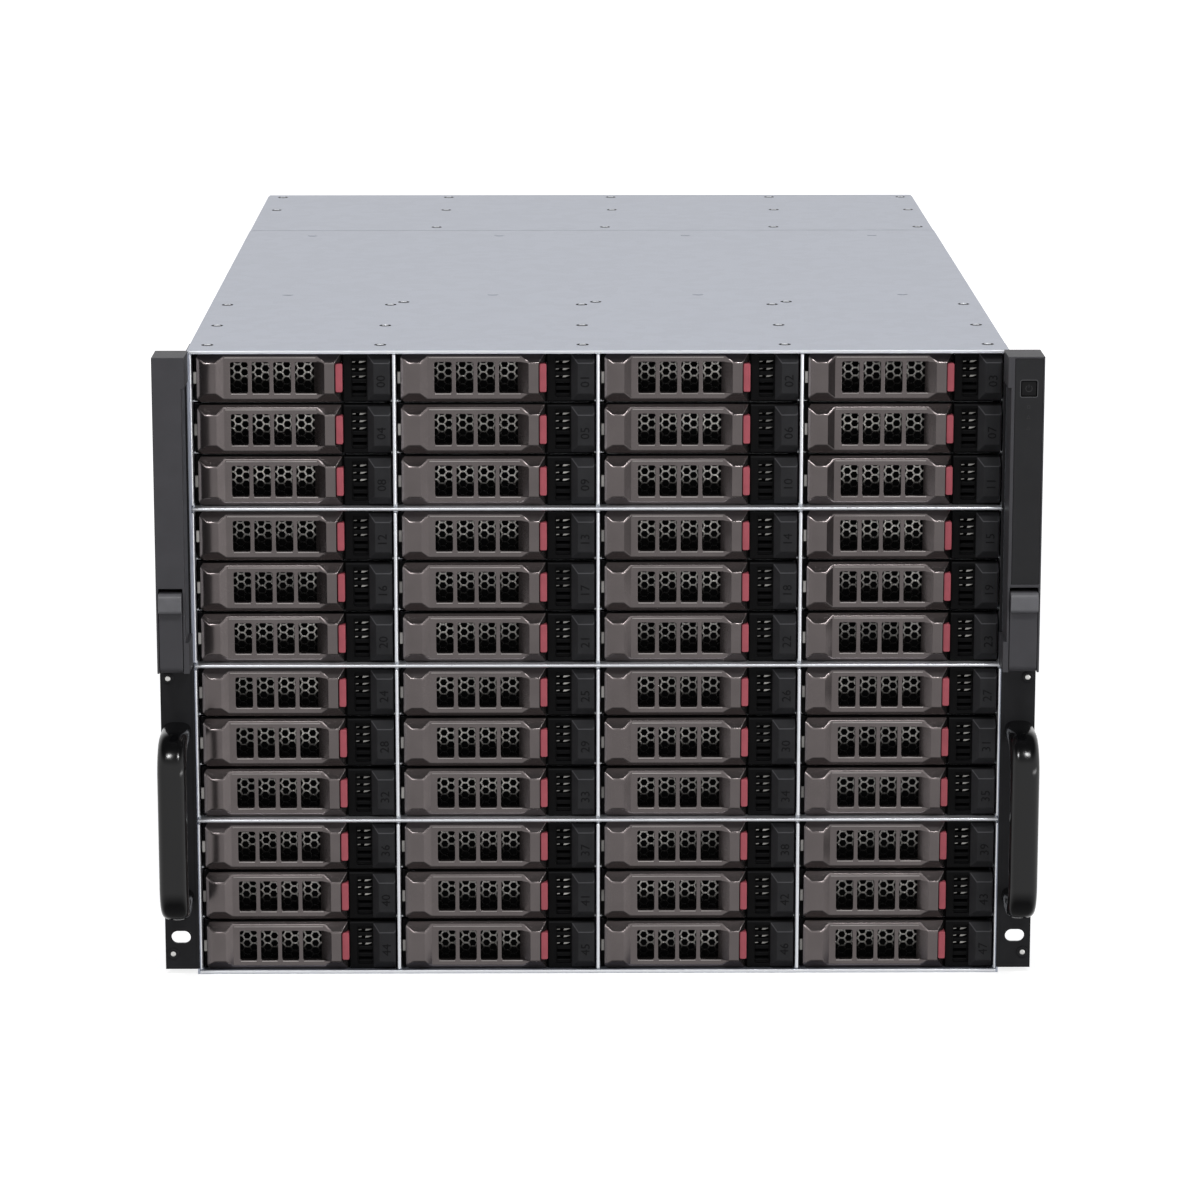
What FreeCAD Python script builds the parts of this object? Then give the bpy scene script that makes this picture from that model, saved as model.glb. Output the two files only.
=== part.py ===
import FreeCAD, Part
import math
import os
import re

import Sketcher

# Rack storage array: a 19 inch enclosure, eight units high, with forty-eight drive
# carriers in four blocks of three rows and four columns behind its front.
# Millimetres. X runs to the viewer's right, Y from the front to the rear, Z up.
# The origin is the middle of the bottom face.

DRIVING_SIZES = [
    # enclosure
    ("body_depth", 700.0, "front edge to rear panel"),
    ("sheet_gauge", 1.2, "steel of the walls, covers and rear panel"),
    ("cover_split", 508.0, "front edge to the seam between the two top covers"),
    ("seam_gap", 0.4, "open seam between the two top covers"),
    ("cover_step", 0.7, "the rear cover stands this much inside the walls"),
    # drive and its sled
    ("drive_width", 101.6, "3.5 inch drive"),
    ("drive_length", 147.0, "3.5 inch drive"),
    ("drive_height", 26.1, "3.5 inch drive"),
    ("drive_set", 6.0, "bezel to the drive's front end"),
    ("drive_headroom", 0.3, "carrier's top above the drive"),
    ("drive_side_gap", 0.3, "drive to the sled's wall"),
    ("sled_wall", 2.2, "side wall of the sled"),
    ("sled_inset", 0.25, "sled inside the bezel's width, each side"),
    ("sled_floor", 0.8, "floor of the sled"),
    ("sled_drop", 3.7, "carrier's top to the top of the sled's walls"),
    ("sled_short", 0.5, "drive's rear end past the sled"),
    ("sled_rim", 16.0, "floor left at each side of the sled's opening"),
    ("sled_end", 26.0, "floor left before and behind the sled's opening"),
    # drive cage
    ("divider_gauge", 2.0, "folded steel between columns"),
    ("shelf_gauge", 2.0, "folded steel between blocks"),
    ("liner_gauge", 1.3, "folded steel against the side walls"),
    ("ledge_reach", 2.2, "how far a runner stands out of a divider"),
    ("ledge_gauge", 0.8, "thickness of a runner"),
    ("ledge_start", 14.0, "front edge to the front end of a runner"),
    ("side_gap", 0.95, "carrier to divider, each side"),
    ("seat_gap", 0.3, "carrier above its runner"),
    ("row_clear", 0.35, "carrier's top to the runner above"),
    # carrier front
    ("front_set", 0.8, "cage edge to the foremost face of a carrier"),
    ("bevel_depth", 5.2, "top and bottom bevel of lever and bezel, at 45 degrees"),
    ("cut_over", 1.0, "how far a cut runs past the face it starts from"),
    ("working_gap", 0.3, "clearance between pieces that move past each other"),
    # lever, from left to right
    ("lever_start", 1.7, "carrier's left side to the lever's left end"),
    ("corner_run", 4.1, "slope at the left end"),
    ("corner_dip", 3.0, "how far the left end falls back"),
    ("neck_left_width", 6.5, "foremost band on the left"),
    ("ramp_left_run", 3.9, "slope down to the window panel"),
    ("panel_dip", 3.5, "how far the window panel is sunk"),
    ("window_margin_left", 3.7, "panel's left end to the first window"),
    ("window_bar", 2.25, "bar between two windows"),
    ("window_margin_right", 2.35, "last window to the panel's right end"),
    ("window_edge", 5.1, "lever's top to the windows"),
    ("ramp_right_run", 4.3, "slope up from the window panel"),
    ("neck_right_width", 5.4, "foremost band on the right"),
    ("tail_run", 3.5, "slope at the right end"),
    ("pivot_set", 4.2, "lever's left end to its pin"),
    ("knuckle_radius", 2.4, "round of the lever about its pin"),
    ("pin_radius", 1.2, "lever pin"),
    ("pin_clearance", 0.05, "radial room in a pin's bore"),
    ("notch_length", 7.6, "hinge notch in the lever, along"),
    ("notch_height", 5.0, "hinge notch in the lever, up"),
    ("notch_inset", 3.1, "lever's top and bottom to a hinge notch"),
    ("notch_skin", 3.2, "front skin of the lever before the notch"),
    ("nose_radius", 2.1, "round end of a hinge ear on the bezel"),
    # release button in a notch of the lever's right end
    ("release_gap", 0.4, "lever's right band to the button"),
    ("release_width", 3.9, "button across"),
    ("release_edge", 5.8, "carrier's top to the button"),
    ("release_set", 2.3, "cage edge to the button's face"),
    ("release_foot", 1.2, "button's foot into the bezel plate"),
    ("release_corner", 1.1, "cut corners of the button"),
    # bezel, its right part from left to right
    ("screen_gauge", 0.6, "perforated screen"),
    ("screen_edge", 3.1, "carrier's top to the screen"),
    ("bezel_gauge", 2.0, "plate behind the lever"),
    ("vent_edge", 5.1, "carrier's top to the air opening in the bezel plate"),
    ("vent_rim", 1.8, "screen's side to the air opening"),
    ("post_gap", 0.4, "button to the bezel's right part"),
    ("post_width", 4.1, "strip beside the louvres"),
    ("post_set", 5.4, "cage edge to the strip"),
    ("louvre_width", 8.7, "louvre recess"),
    ("louvre_edge", 2.6, "carrier's top to the louvre recess"),
    ("louvre_set", 8.0, "cage edge to the floor of the louvre recess"),
    ("louvre_slot", 1.6, "open height of a louvre"),
    ("louvre_pitch", 4.0, "louvre to louvre"),
    ("louvre_margin", 1.0, "louvre end to the side of its recess"),
    ("grip_ramp_run", 3.8, "slope up to the grip"),
    ("grip_width", 8.2, "foremost face of the right end"),
    ("grip_ease", 0.9, "eased corner at the far right"),
    # backplane
    ("backplane_gauge", 2.4, "circuit board behind a block"),
    ("backplane_margin", 1.0, "board edge to its block, top and bottom"),
    ("socket_depth", 7.0, "drive socket before the backplane"),
    ("socket_width", 42.0, "drive socket on the backplane"),
    ("socket_height", 6.0, "drive socket on the backplane"),
    ("socket_rise", 3.0, "socket above the carrier's floor"),
    # fans
    ("cable_room", 51.6, "backplane to the fan wall"),
    ("wall_gauge", 1.5, "fan wall"),
    ("fan_gap", 6.15, "fan to fan and fan to side wall"),
    ("fan_depth", 38.0, "fan frame front to back"),
    ("fan_rim", 4.0, "frame round the air bore"),
    ("window_lap", 3.0, "fan frame over the edge of the wall's window"),
    ("tip_gap", 2.0, "blade tips to the air bore"),
    ("hub_radius", 24.0, "rotor hub"),
    ("hub_length", 26.0, "rotor hub"),
    ("blade_inset", 1.0, "blade to each end of the hub"),
    ("blade_sweep", 20.0, "blade round the hub"),
    ("blade_gauge", 3.0, "blade thickness, measured round the hub"),
    ("motor_gauge", 4.0, "motor plate and its arm"),
    ("motor_arm", 12.0, "arm that carries the motor plate"),
    ("shaft_radius", 2.5, "rotor shaft in the motor plate"),
    ("shaft_length", 3.5, "rotor shaft behind the hub"),
    # controller
    ("standoff_height", 6.0, "boss under the controller board"),
    ("standoff_radius", 3.5, "boss under the controller board"),
    ("board_gauge", 1.6, "controller board"),
    ("board_room", 54.0, "fans to the controller board"),
    ("board_side", 8.3, "side wall to the controller board"),
    ("board_space", 5.0, "controller board to the power supplies"),
    ("board_short", 20.0, "controller board to the rear panel"),
    ("board_margin", 14.0, "board edge to a boss"),
    ("sink_width", 90.0, "heat sink across"),
    ("sink_length", 90.0, "heat sink along"),
    ("sink_base", 6.0, "heat sink base"),
    ("sink_height", 64.0, "heat sink with its fins"),
    ("fin_gauge", 3.0, "heat sink fin"),
    ("sink_set", 90.0, "board's front edge to the heat sink"),
    # rear side
    ("port_width", 16.0, "network socket shell across"),
    ("port_height", 14.0, "network socket shell up"),
    ("port_length", 22.0, "network socket shell along"),
    ("port_wall", 2.0, "network socket wall at the sides"),
    ("port_lip", 2.5, "network socket wall above and below"),
    ("port_mouth_depth", 14.0, "mouth of a network socket"),
    ("port_gap", 4.0, "socket to socket"),
    ("port_margin", 6.0, "board's left edge to the first socket"),
    ("port_proud", 1.5, "socket past the rear panel"),
    ("bracket_width", 18.4, "expansion slot cover"),
    ("bracket_height", 112.0, "expansion slot cover"),
    ("bracket_gauge", 1.0, "expansion slot cover"),
    ("bracket_gap", 1.9, "expansion slot cover to the next"),
    ("bracket_side", 13.1, "side wall to the first slot cover"),
    ("bracket_rise", 52.0, "bottom face to the slot covers"),
    ("slot_lap", 2.0, "slot cover over the edge of its slot"),
    # power supplies
    ("supply_width", 73.5, "power supply across"),
    ("supply_height", 40.0, "power supply up"),
    ("supply_length", 185.0, "power supply along"),
    ("supply_gap", 4.5, "supply to supply"),
    ("supply_side_gap", 7.8, "supply to side wall"),
    ("inlet_width", 24.0, "power inlet"),
    ("inlet_height", 16.5, "power inlet"),
    ("inlet_depth", 15.0, "power inlet"),
    ("inlet_set", 6.0, "supply's inner side to its inlet"),
    ("inlet_rise", 8.0, "supply's bottom to its inlet"),
    ("pull_reach", 26.0, "supply handle out of the rear"),
    ("pull_gauge", 3.0, "supply handle strip"),
    ("pull_height", 13.0, "supply handle up"),
    ("pull_width", 30.0, "supply handle across"),
    ("pull_margin", 5.5, "supply handle to the supply's outer side"),
    ("pull_rise", 14.0, "supply's bottom to its handle"),
    # rack ears
    ("ear_width", 17.8, "ear out of the side wall, for the 19 inch panel width"),
    ("ear_gauge", 2.0, "ear plate"),
    ("ear_bottom", 3.0, "bottom face to the ear"),
    ("ear_headroom", 3.0, "ear's top below the array's top"),
    ("flange_gauge", 1.6, "ear flange along the side wall"),
    ("flange_depth", 42.0, "ear flange along the side wall"),
    ("slot_edge", 8.75, "ear's outer edge to the middle of a rack slot"),
    ("slot_rise", 21.4, "bottom face to the lower rack slots"),
    ("slot_step", 177.8, "lower to upper rack slots, four units"),
    ("slot_length", 10.8, "rack slot across"),
    ("slot_width", 7.2, "rack slot up"),
    # ear covers
    ("shell_lap", 0.7, "left ear cover before the side wall"),
    ("shell_clear", 0.45, "right ear cover outside the path of the last carrier"),
    ("shell_inset", 1.0, "ear cover inside the ear's outer edge"),
    ("shell_depth", 26.0, "ear cover in front of the ear"),
    ("shell_bottom", 178.0, "bottom face to the ear cover"),
    ("shell_drop", 0.2, "ear cover's top below the array's top"),
    ("shell_wall", 1.2, "ear cover wall"),
    ("shell_bevel", 0.3, "bevel at the ear cover's top and outer edge"),
    ("relief_depth", 1.8, "relief in the inner side"),
    ("relief_margin", 17.0, "ear cover's ends to the relief"),
    # flip latch
    ("latch_height", 45.0, "latch up"),
    ("latch_gauge", 8.0, "latch front to back"),
    ("latch_proud", 0.6, "latch face past the cover's front"),
    ("latch_grip", 4.2, "grip past the latch's face"),
    ("latch_grip_height", 11.0, "grip up"),
    ("latch_pin", 1.5, "latch pin radius"),
    ("latch_finger_gap", 2.2, "opening above the latch"),
    # carrying handles
    ("handle_reach", 43.0, "front of the handle before the ear"),
    ("handle_bottom", 38.2, "bottom face to the handle"),
    ("handle_height", 106.6, "handle up"),
    ("handle_width", 15.8, "handle across"),
    ("handle_inset", 0.8, "handle inside the ear's outer edge"),
    ("handle_bar", 11.5, "handle bar front to back"),
    ("handle_bend", 22.0, "outer bend of the handle"),
    ("handle_ease", 3.0, "eased edges of the handle"),
    # front panel insert and power button
    ("insert_near", 1.9, "relief of the right ear cover to the insert"),
    ("insert_far", 0.9, "insert to the outer side of the right ear cover"),
    ("insert_end", 1.8, "insert to the latch opening"),
    ("insert_headroom", 1.0, "insert to the ear cover's top"),
    ("insert_gauge", 1.6, "insert plate, flush with the cover"),
    ("key_size", 8.2, "power button"),
    ("key_drop", 17.3, "ear cover's top to the power button's middle"),
    ("key_set", 0.6, "power button behind the insert's face"),
    ("key_depth", 4.4, "power button front to back"),
]

BLOCKS = 4
ROWS_IN_BLOCK = 3
COLUMNS = 4
WINDOWS = 4
LOUVRES = 5
FANS = 3
BLADES = 5
BORE_SIDES = 24
BOSS_SIDES = 6
FINS = 9
PORTS = 4
SLOTS = 7
SIDES = {"left": -1, "right": 1}

DERIVED_PLACES = [
    # carrier, drawn from its own left side, the cage's front edge and its runner
    ("carrier_width", "drive_width + 2 * (drive_side_gap + sled_wall + sled_inset)"),
    ("carrier_height", "drive_height + sled_floor + drive_headroom"),
    ("carrier_top", "seat_gap + carrier_height"),
    ("carrier_middle", "seat_gap + carrier_height / 2"),
    # enclosure round the carriers
    ("column_pitch", "carrier_width + 2 * side_gap + divider_gauge"),
    ("row_pitch", "seat_gap + carrier_height + row_clear + ledge_gauge"),
    ("block_clear", f"{ROWS_IN_BLOCK} * row_pitch"),
    ("block_step", "block_clear + shelf_gauge"),
    ("body_height", f"{BLOCKS} * block_step - shelf_gauge + 2 * sheet_gauge"),
    ("ceiling_height", "body_height - sheet_gauge"),
    ("liner_face", f"{COLUMNS} * column_pitch / 2 - divider_gauge / 2"),
    ("inner_half", "liner_face + liner_gauge"),
    ("half_width", "inner_half + sheet_gauge"),
    ("front_plane", "0 - body_depth / 2"),
    ("rear_plane", "body_depth / 2"),
    # lever and bezel
    ("grip_end", "carrier_width - grip_ease"),
    ("grip_start", "grip_end - grip_width"),
    ("louvre_end", "grip_start - grip_ramp_run"),
    ("louvre_start", "louvre_end - louvre_width"),
    ("post_start", "louvre_start - post_width"),
    ("release_start", "post_start - post_gap - release_width"),
    ("neck_right_end", "release_start - release_gap"),
    ("neck_right_start", "neck_right_end - neck_right_width"),
    ("lever_end", "neck_right_end + tail_run"),
    ("panel_end", "neck_right_start - ramp_right_run"),
    ("neck_left_start", "lever_start + corner_run"),
    ("neck_left_end", "neck_left_start + neck_left_width"),
    ("panel_start", "neck_left_end + ramp_left_run"),
    ("window_first", "panel_start + window_margin_left"),
    ("window_span", "panel_end - window_margin_right - window_first"),
    ("window_width", f"(window_span - {WINDOWS - 1} * window_bar) / {WINDOWS}"),
    ("window_pitch", "window_width + window_bar"),
    ("pivot_place", "lever_start + pivot_set"),
    ("pivot_depth", "front_set + notch_skin + working_gap + nose_radius"),
    ("lever_back", "pivot_depth + knuckle_radius"),
    ("screen_front", "lever_back + working_gap"),
    ("bezel_front", "screen_front + screen_gauge"),
    ("bezel_back", "bezel_front + bezel_gauge"),
    ("sled_length", "drive_set + drive_length - sled_short"),
    # behind the carriers
    ("cage_depth", "bezel_back + drive_set + drive_length + working_gap + socket_depth"),
    ("wall_front", "front_plane + cage_depth + backplane_gauge + cable_room"),
    ("fan_front", "wall_front + wall_gauge"),
    ("fan_pitch", f"(2 * inner_half - fan_gap) / {FANS}"),
    ("fan_size", "fan_pitch - fan_gap"),
    ("fan_bore", "fan_size - 2 * fan_rim"),
    ("fan_rise", "body_height / 2"),
    ("wall_window", "fan_size - 2 * window_lap"),
    # rear compartment
    ("supply_first", "inner_half - supply_side_gap - supply_width"),
    ("supply_pitch", "supply_width + supply_gap"),
    ("pull_end", "supply_width - pull_margin"),
    ("pull_start", "pull_end - pull_width"),
    ("board_left", "board_side - inner_half"),
    ("board_right", "supply_first - supply_pitch - board_space"),
    ("board_start", "fan_front + fan_depth + board_room"),
    ("board_end", "rear_plane - sheet_gauge - board_short"),
    ("board_top", "sheet_gauge + standoff_height + board_gauge"),
    ("port_first", "board_left + port_margin + port_width / 2"),
    ("port_pitch", "port_width + port_gap"),
    ("bracket_first", "bracket_side + bracket_width / 2 - inner_half"),
    ("bracket_pitch", "bracket_width + bracket_gap"),
    # ears
    ("ear_half", "half_width + ear_width"),
    ("ear_top", "body_height - ear_headroom"),
    ("slot_place", "ear_half - slot_edge"),
    ("shell_inner_left", "half_width - shell_lap"),
    ("shell_inner_right", "liner_face - side_gap + shell_clear"),
    ("shell_outer", "ear_half - shell_inset"),
    ("shell_front", "front_plane - shell_depth"),
    ("shell_top", "body_height - shell_drop"),
    ("hollow_inner_left", "shell_inner_left + relief_depth + shell_wall"),
    ("hollow_inner_right", "shell_inner_right + relief_depth + shell_wall"),
    ("hollow_outer", "shell_outer - shell_wall"),
    ("latch_top", "shell_bottom + latch_height"),
    ("latch_ceiling", "latch_top + latch_finger_gap"),
    ("latch_front", "shell_front - latch_proud"),
    ("latch_round", "latch_gauge / 2"),
    ("latch_axis_along", "latch_front + latch_round"),
    ("latch_axis_up", "shell_bottom + latch_round"),
    ("insert_low", "shell_inner_right + relief_depth + insert_near"),
    ("insert_high", "shell_outer - insert_far"),
    ("insert_middle", "(insert_low + insert_high) / 2"),
    ("insert_bottom", "latch_ceiling + insert_end"),
    ("insert_top", "shell_top - insert_headroom"),
    ("key_rise", "shell_top - key_drop"),
    ("key_mouth", "key_size / 2 + working_gap"),
    ("handle_outer", "ear_half - handle_inset"),
    ("handle_front", "front_plane - handle_reach"),
    ("handle_top", "handle_bottom + handle_height"),
    ("handle_inside_bend", "handle_bend - handle_bar"),
]

doc = FreeCAD.newDocument("storage_array")
sizes = doc.addObject("Spreadsheet::Sheet", "sizes")
for line, (alias, number, meaning) in enumerate(DRIVING_SIZES, start=1):
    sizes.set(f"A{line}", meaning)
    sizes.set(f"B{line}", str(number))
    sizes.setAlias(f"B{line}", alias)
doc.recompute()

sheet_of = {alias: "sizes" for alias, number, meaning in DRIVING_SIZES}
sheet_of.update({alias: "places" for alias, formula in DERIVED_PLACES})


def bound(text):
    return re.sub(r"[a-z]+(?:_[a-z]+)+", lambda found: f"{sheet_of[found.group(0)]}.{found.group(0)}", text)


places = doc.addObject("Spreadsheet::Sheet", "places")
for line, (alias, formula) in enumerate(DERIVED_PLACES, start=1):
    places.set(f"A{line}", "=" + re.sub(r"places\.", "", bound(formula)))
    places.setAlias(f"A{line}", alias)
    doc.recompute()


def number_of(text):
    return float(sizes.evalExpression(bound(text)))


def origin_plane(body, role):
    for feature in body.Origin.OriginFeatures:
        if feature.Role == role:
            return feature
    raise LookupError(role)


def new_body(label):
    return doc.addObject("PartDesign::Body", label)


def constrain(sketch, kind, *where):
    text = where[-1]
    constraint = Sketcher.Constraint(kind, *where[:-1], number_of(text))
    index = sketch.addConstraint(constraint)
    sketch.setExpression(f"Constraints[{index}]", bound(text))


def pin_point(sketch, geometry, position, across, up):
    constrain(sketch, "DistanceX", -1, 1, geometry, position, across)
    constrain(sketch, "DistanceY", -1, 1, geometry, position, up)


def arc_between(start, end, radius, left):
    chord = end - start
    middle = (start + end) * 0.5
    rise = math.sqrt(max(radius * radius - chord.Length * chord.Length / 4, 0.0))
    across = FreeCAD.Vector(-chord.y, chord.x, 0).normalize()
    centre = middle + across * (rise if left else -rise)
    round_edge = Part.Circle(centre, FreeCAD.Vector(0, 0, 1), radius)
    first, last = (start, end) if left else (end, start)
    begin = math.atan2(first.y - centre.y, first.x - centre.x)
    finish = math.atan2(last.y - centre.y, last.x - centre.x)
    if finish < begin:
        finish += 2 * math.pi
    return Part.ArcOfCircle(round_edge, begin, finish)


# An outline is a closed run of points. A point may carry a radius, and then the way to
# the next point is an arc that bends to the left (+) or to the right (-).
def draw_outline(sketch, points):
    corners = [FreeCAD.Vector(number_of(p[0]), number_of(p[1]), 0) for p in points]
    ends = []
    for index, point in enumerate(points):
        start, end = corners[index], corners[(index + 1) % len(points)]
        if len(point) == 2:
            sketch.addGeometry(Part.LineSegment(start, end))
            ends.append((1, 2))
        else:
            left = point[3]
            sketch.addGeometry(arc_between(start, end, number_of(point[2]), left))
            ends.append((1, 2) if left else (2, 1))
    base = sketch.GeometryCount - len(points)
    for index, point in enumerate(points):
        following = (index + 1) % len(points)
        sketch.addConstraint(Sketcher.Constraint(
            "Coincident", base + index, ends[index][1], base + following, ends[following][0]))
        pin_point(sketch, base + index, ends[index][0], point[0], point[1])
        if len(point) > 2:
            constrain(sketch, "Radius", base + index, point[2])


def rectangle(low_across, low_up, high_across, high_up):
    corners = [(low_across, low_up), (high_across, low_up),
               (high_across, high_up), (low_across, high_up)]
    return lambda sketch: draw_outline(sketch, corners)


def outline(points):
    return lambda sketch: draw_outline(sketch, points)


def circle(across, up, radius):
    def draw(sketch):
        centre = FreeCAD.Vector(number_of(across), number_of(up), 0)
        index = sketch.addGeometry(
            Part.Circle(centre, FreeCAD.Vector(0, 0, 1), number_of(radius)))
        pin_point(sketch, index, 3, across, up)
        constrain(sketch, "Radius", index, radius)
    return draw


def many_sided(across, up, radius, sides):
    corners = []
    for index in range(sides):
        turn = (2 * index + 1) * math.pi / sides
        corners.append((f"{across} + {math.cos(turn):.6f} * {radius}",
                        f"{up} + {math.sin(turn):.6f} * {radius}"))
    return outline(corners)


# A slot with round ends that runs across the sketch
def round_slot(across, up, length, width):
    low = f"({across}) - ({length} - {width}) / 2"
    high = f"({across}) + ({length} - {width}) / 2"
    radius = f"({width} / 2)"

    def draw(sketch):
        left, right, level, r = number_of(low), number_of(high), number_of(up), number_of(radius)
        normal = FreeCAD.Vector(0, 0, 1)
        top = Part.LineSegment(FreeCAD.Vector(right, level + r, 0), FreeCAD.Vector(left, level + r, 0))
        bottom = Part.LineSegment(FreeCAD.Vector(left, level - r, 0), FreeCAD.Vector(right, level - r, 0))
        quarter = math.pi / 2
        left_end = Part.ArcOfCircle(
            Part.Circle(FreeCAD.Vector(left, level, 0), normal, r), quarter, 3 * quarter)
        right_end = Part.ArcOfCircle(
            Part.Circle(FreeCAD.Vector(right, level, 0), normal, r), -quarter, quarter)
        indices = [sketch.addGeometry(piece) for piece in (top, left_end, bottom, right_end)]
        for index in range(4):
            sketch.addConstraint(Sketcher.Constraint(
                "Tangent", indices[index], 2, indices[(index + 1) % 4], 1))
        pin_point(sketch, indices[1], 3, low, up)
        pin_point(sketch, indices[3], 3, high, up)
        constrain(sketch, "Radius", indices[1], radius)
        constrain(sketch, "Radius", indices[3], radius)
    return draw


# Sketch axes: XY draws X and Y, XZ draws X and Z, YZ draws Y and Z.
# A pad or pocket starts at the given place and runs towards +Z, +Y or +X.
def shaped(body, kind, plane, start, length, *drawings):
    sketch = body.newObject("Sketcher::SketchObject", "outline")
    sketch.AttachmentSupport = [(origin_plane(body, plane + "_Plane"), "")]
    sketch.MapMode = "FlatFace"
    offset = f"0 - ({start})" if plane == "XZ" else start
    sketch.setExpression("AttachmentOffset.Base.z", bound(offset))
    for drawing in drawings:
        drawing(sketch)
    feature = body.newObject("PartDesign::" + kind, kind.lower())
    feature.Profile = sketch
    feature.setExpression("Length", bound(length))
    forward_is_normal = plane != "XZ"
    feature.Reversed = forward_is_normal == (kind == "Pocket")
    return feature


def add(body, plane, start, length, *drawings):
    return shaped(body, "Pad", plane, start, length, *drawings)


def cut(body, plane, start, length, *drawings):
    return shaped(body, "Pocket", plane, start, length, *drawings)


def place(thing, across, along, up):
    thing.setExpression("Placement.Base.x", bound(across))
    thing.setExpression("Placement.Base.y", bound(along))
    thing.setExpression("Placement.Base.z", bound(up))
    return thing


def box(label, low, size):
    thing = doc.addObject("Part::Box", label)
    for name, text in zip(("Length", "Width", "Height"), size):
        thing.setExpression(name, bound(text))
    return place(thing, *low)


def copy_of(master, label, across, along, up):
    link = doc.addObject("App::Link", label)
    link.LinkedObject = master
    return place(link, across, along, up)


def group(label, members):
    compound = doc.addObject("Part::Compound", label)
    compound.Links = members
    return compound


# Enclosure

def make_chassis_base():
    body = new_body("chassis_base")
    walls = [("0 - half_width", "0"), ("half_width", "0"), ("half_width", "ceiling_height"),
             ("inner_half", "ceiling_height"), ("inner_half", "sheet_gauge"),
             ("0 - inner_half", "sheet_gauge"), ("0 - inner_half", "ceiling_height"),
             ("0 - half_width", "ceiling_height")]
    add(body, "XZ", "front_plane", "body_depth", outline(walls))
    bosses = []
    for across in ("board_left + board_margin", "board_right - board_margin"):
        for along in ("board_start + board_margin", "board_end - board_margin"):
            bosses.append(many_sided(across, along, "standoff_radius", BOSS_SIDES))
    add(body, "XY", "sheet_gauge", "standoff_height", *bosses)
    return body


def make_top_covers():
    front = box("top_cover_front", ("0 - half_width", "front_plane", "ceiling_height"),
                ("2 * half_width", "cover_split - seam_gap", "sheet_gauge"))
    rear = box("top_cover_rear",
               ("cover_step - half_width", "front_plane + cover_split", "ceiling_height"),
               ("2 * (half_width - cover_step)", "body_depth - cover_split", "sheet_gauge"))
    return [front, rear]


def slot_middle(index):
    return f"(bracket_first + {index} * bracket_pitch)"


def port_middle(index):
    return f"(port_first + {index} * port_pitch)"


def supply_side(index):
    return f"(supply_first - {index} * supply_pitch)"


def make_rear_panel():
    body = new_body("rear_panel")
    edge = rectangle("0 - inner_half", "sheet_gauge", "inner_half", "ceiling_height")
    add(body, "XZ", "rear_plane - sheet_gauge", "sheet_gauge", edge)
    openings = []
    for index in range(SLOTS):
        half = "(bracket_width / 2 - slot_lap)"
        openings.append(rectangle(
            f"{slot_middle(index)} - {half}", "bracket_rise + slot_lap",
            f"{slot_middle(index)} + {half}", "bracket_rise + bracket_height - slot_lap"))
    for index in range(PORTS):
        half = "(port_width / 2 + working_gap)"
        openings.append(rectangle(
            f"{port_middle(index)} - {half}", "board_top - working_gap",
            f"{port_middle(index)} + {half}", "board_top + port_height + working_gap"))
    for index in range(2):
        openings.append(rectangle(
            f"{supply_side(index)} - working_gap", "sheet_gauge - cut_over",
            f"{supply_side(index)} + supply_width + working_gap",
            "sheet_gauge + 2 * seat_gap + supply_height"))
    cut(body, "XZ", "rear_plane - sheet_gauge - cut_over", "sheet_gauge + 2 * cut_over", *openings)
    return body


def make_slot_covers():
    covers = []
    for index in range(SLOTS):
        covers.append(box(
            f"slot_cover_{index + 1}",
            (f"{slot_middle(index)} - bracket_width / 2",
             "rear_plane - sheet_gauge - bracket_gauge", "bracket_rise"),
            ("bracket_width", "bracket_gauge", "bracket_height")))
    return group("slot_covers", covers)


# Drive cage

def block_floor(block):
    return f"(sheet_gauge + {block} * block_step)"


def make_bay_shelves():
    shelves = []
    for block in range(1, BLOCKS):
        shelves.append(box(
            f"shelf_{block}",
            ("0 - inner_half", "front_plane", f"{block_floor(block)} - shelf_gauge"),
            ("2 * inner_half", "cage_depth", "shelf_gauge")))
    return group("bay_shelves", shelves)


# A divider stands between two columns, with runners that carry the upper two rows.
def make_divider(label, left, right, runner_sides):
    body = new_body(label)
    add(body, "XY", "0", "block_clear", rectangle(left, "0", right, "cage_depth"))
    for row in range(1, ROWS_IN_BLOCK):
        low = left if -1 not in runner_sides else f"{left} - ledge_reach"
        high = right if 1 not in runner_sides else f"{right} + ledge_reach"
        add(body, "XY", f"{row} * row_pitch - ledge_gauge", "ledge_gauge",
            rectangle(low, "ledge_start", high, "cage_depth"))
    return body


def make_bay_dividers():
    masters = [
        ("0 - column_pitch", make_divider(
            "divider", "0 - divider_gauge / 2", "divider_gauge / 2", (-1, 1))),
        ("0", make_divider("left_liner", "0 - inner_half", "0 - liner_face", (1,))),
        ("0", make_divider("right_liner", "liner_face", "inner_half", (-1,))),
    ]
    members = []
    for across, master in masters:
        members.append(place(master, across, "front_plane", block_floor(0)))
        for block in range(1, BLOCKS):
            members.append(copy_of(
                master, f"{master.Label}_{block}", across, "front_plane", block_floor(block)))
    for column in range(1, COLUMNS - 1):
        across = f"{column - 1} * column_pitch"
        for block in range(BLOCKS):
            members.append(copy_of(
                masters[0][1], f"divider_{column}_{block}", across, "front_plane", block_floor(block)))
    return group("bay_dividers", members)


# Carriers. A carrier is drawn from its own left side, the cage's front edge and its runner.

def bay_corner(column, row_from_top):
    row = BLOCKS * ROWS_IN_BLOCK - 1 - row_from_top
    across = f"({column - COLUMNS // 2} * column_pitch + divider_gauge / 2 + side_gap)"
    up = f"({block_floor(row // ROWS_IN_BLOCK)} + {row % ROWS_IN_BLOCK} * row_pitch)"
    return across, "front_plane", up


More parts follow.
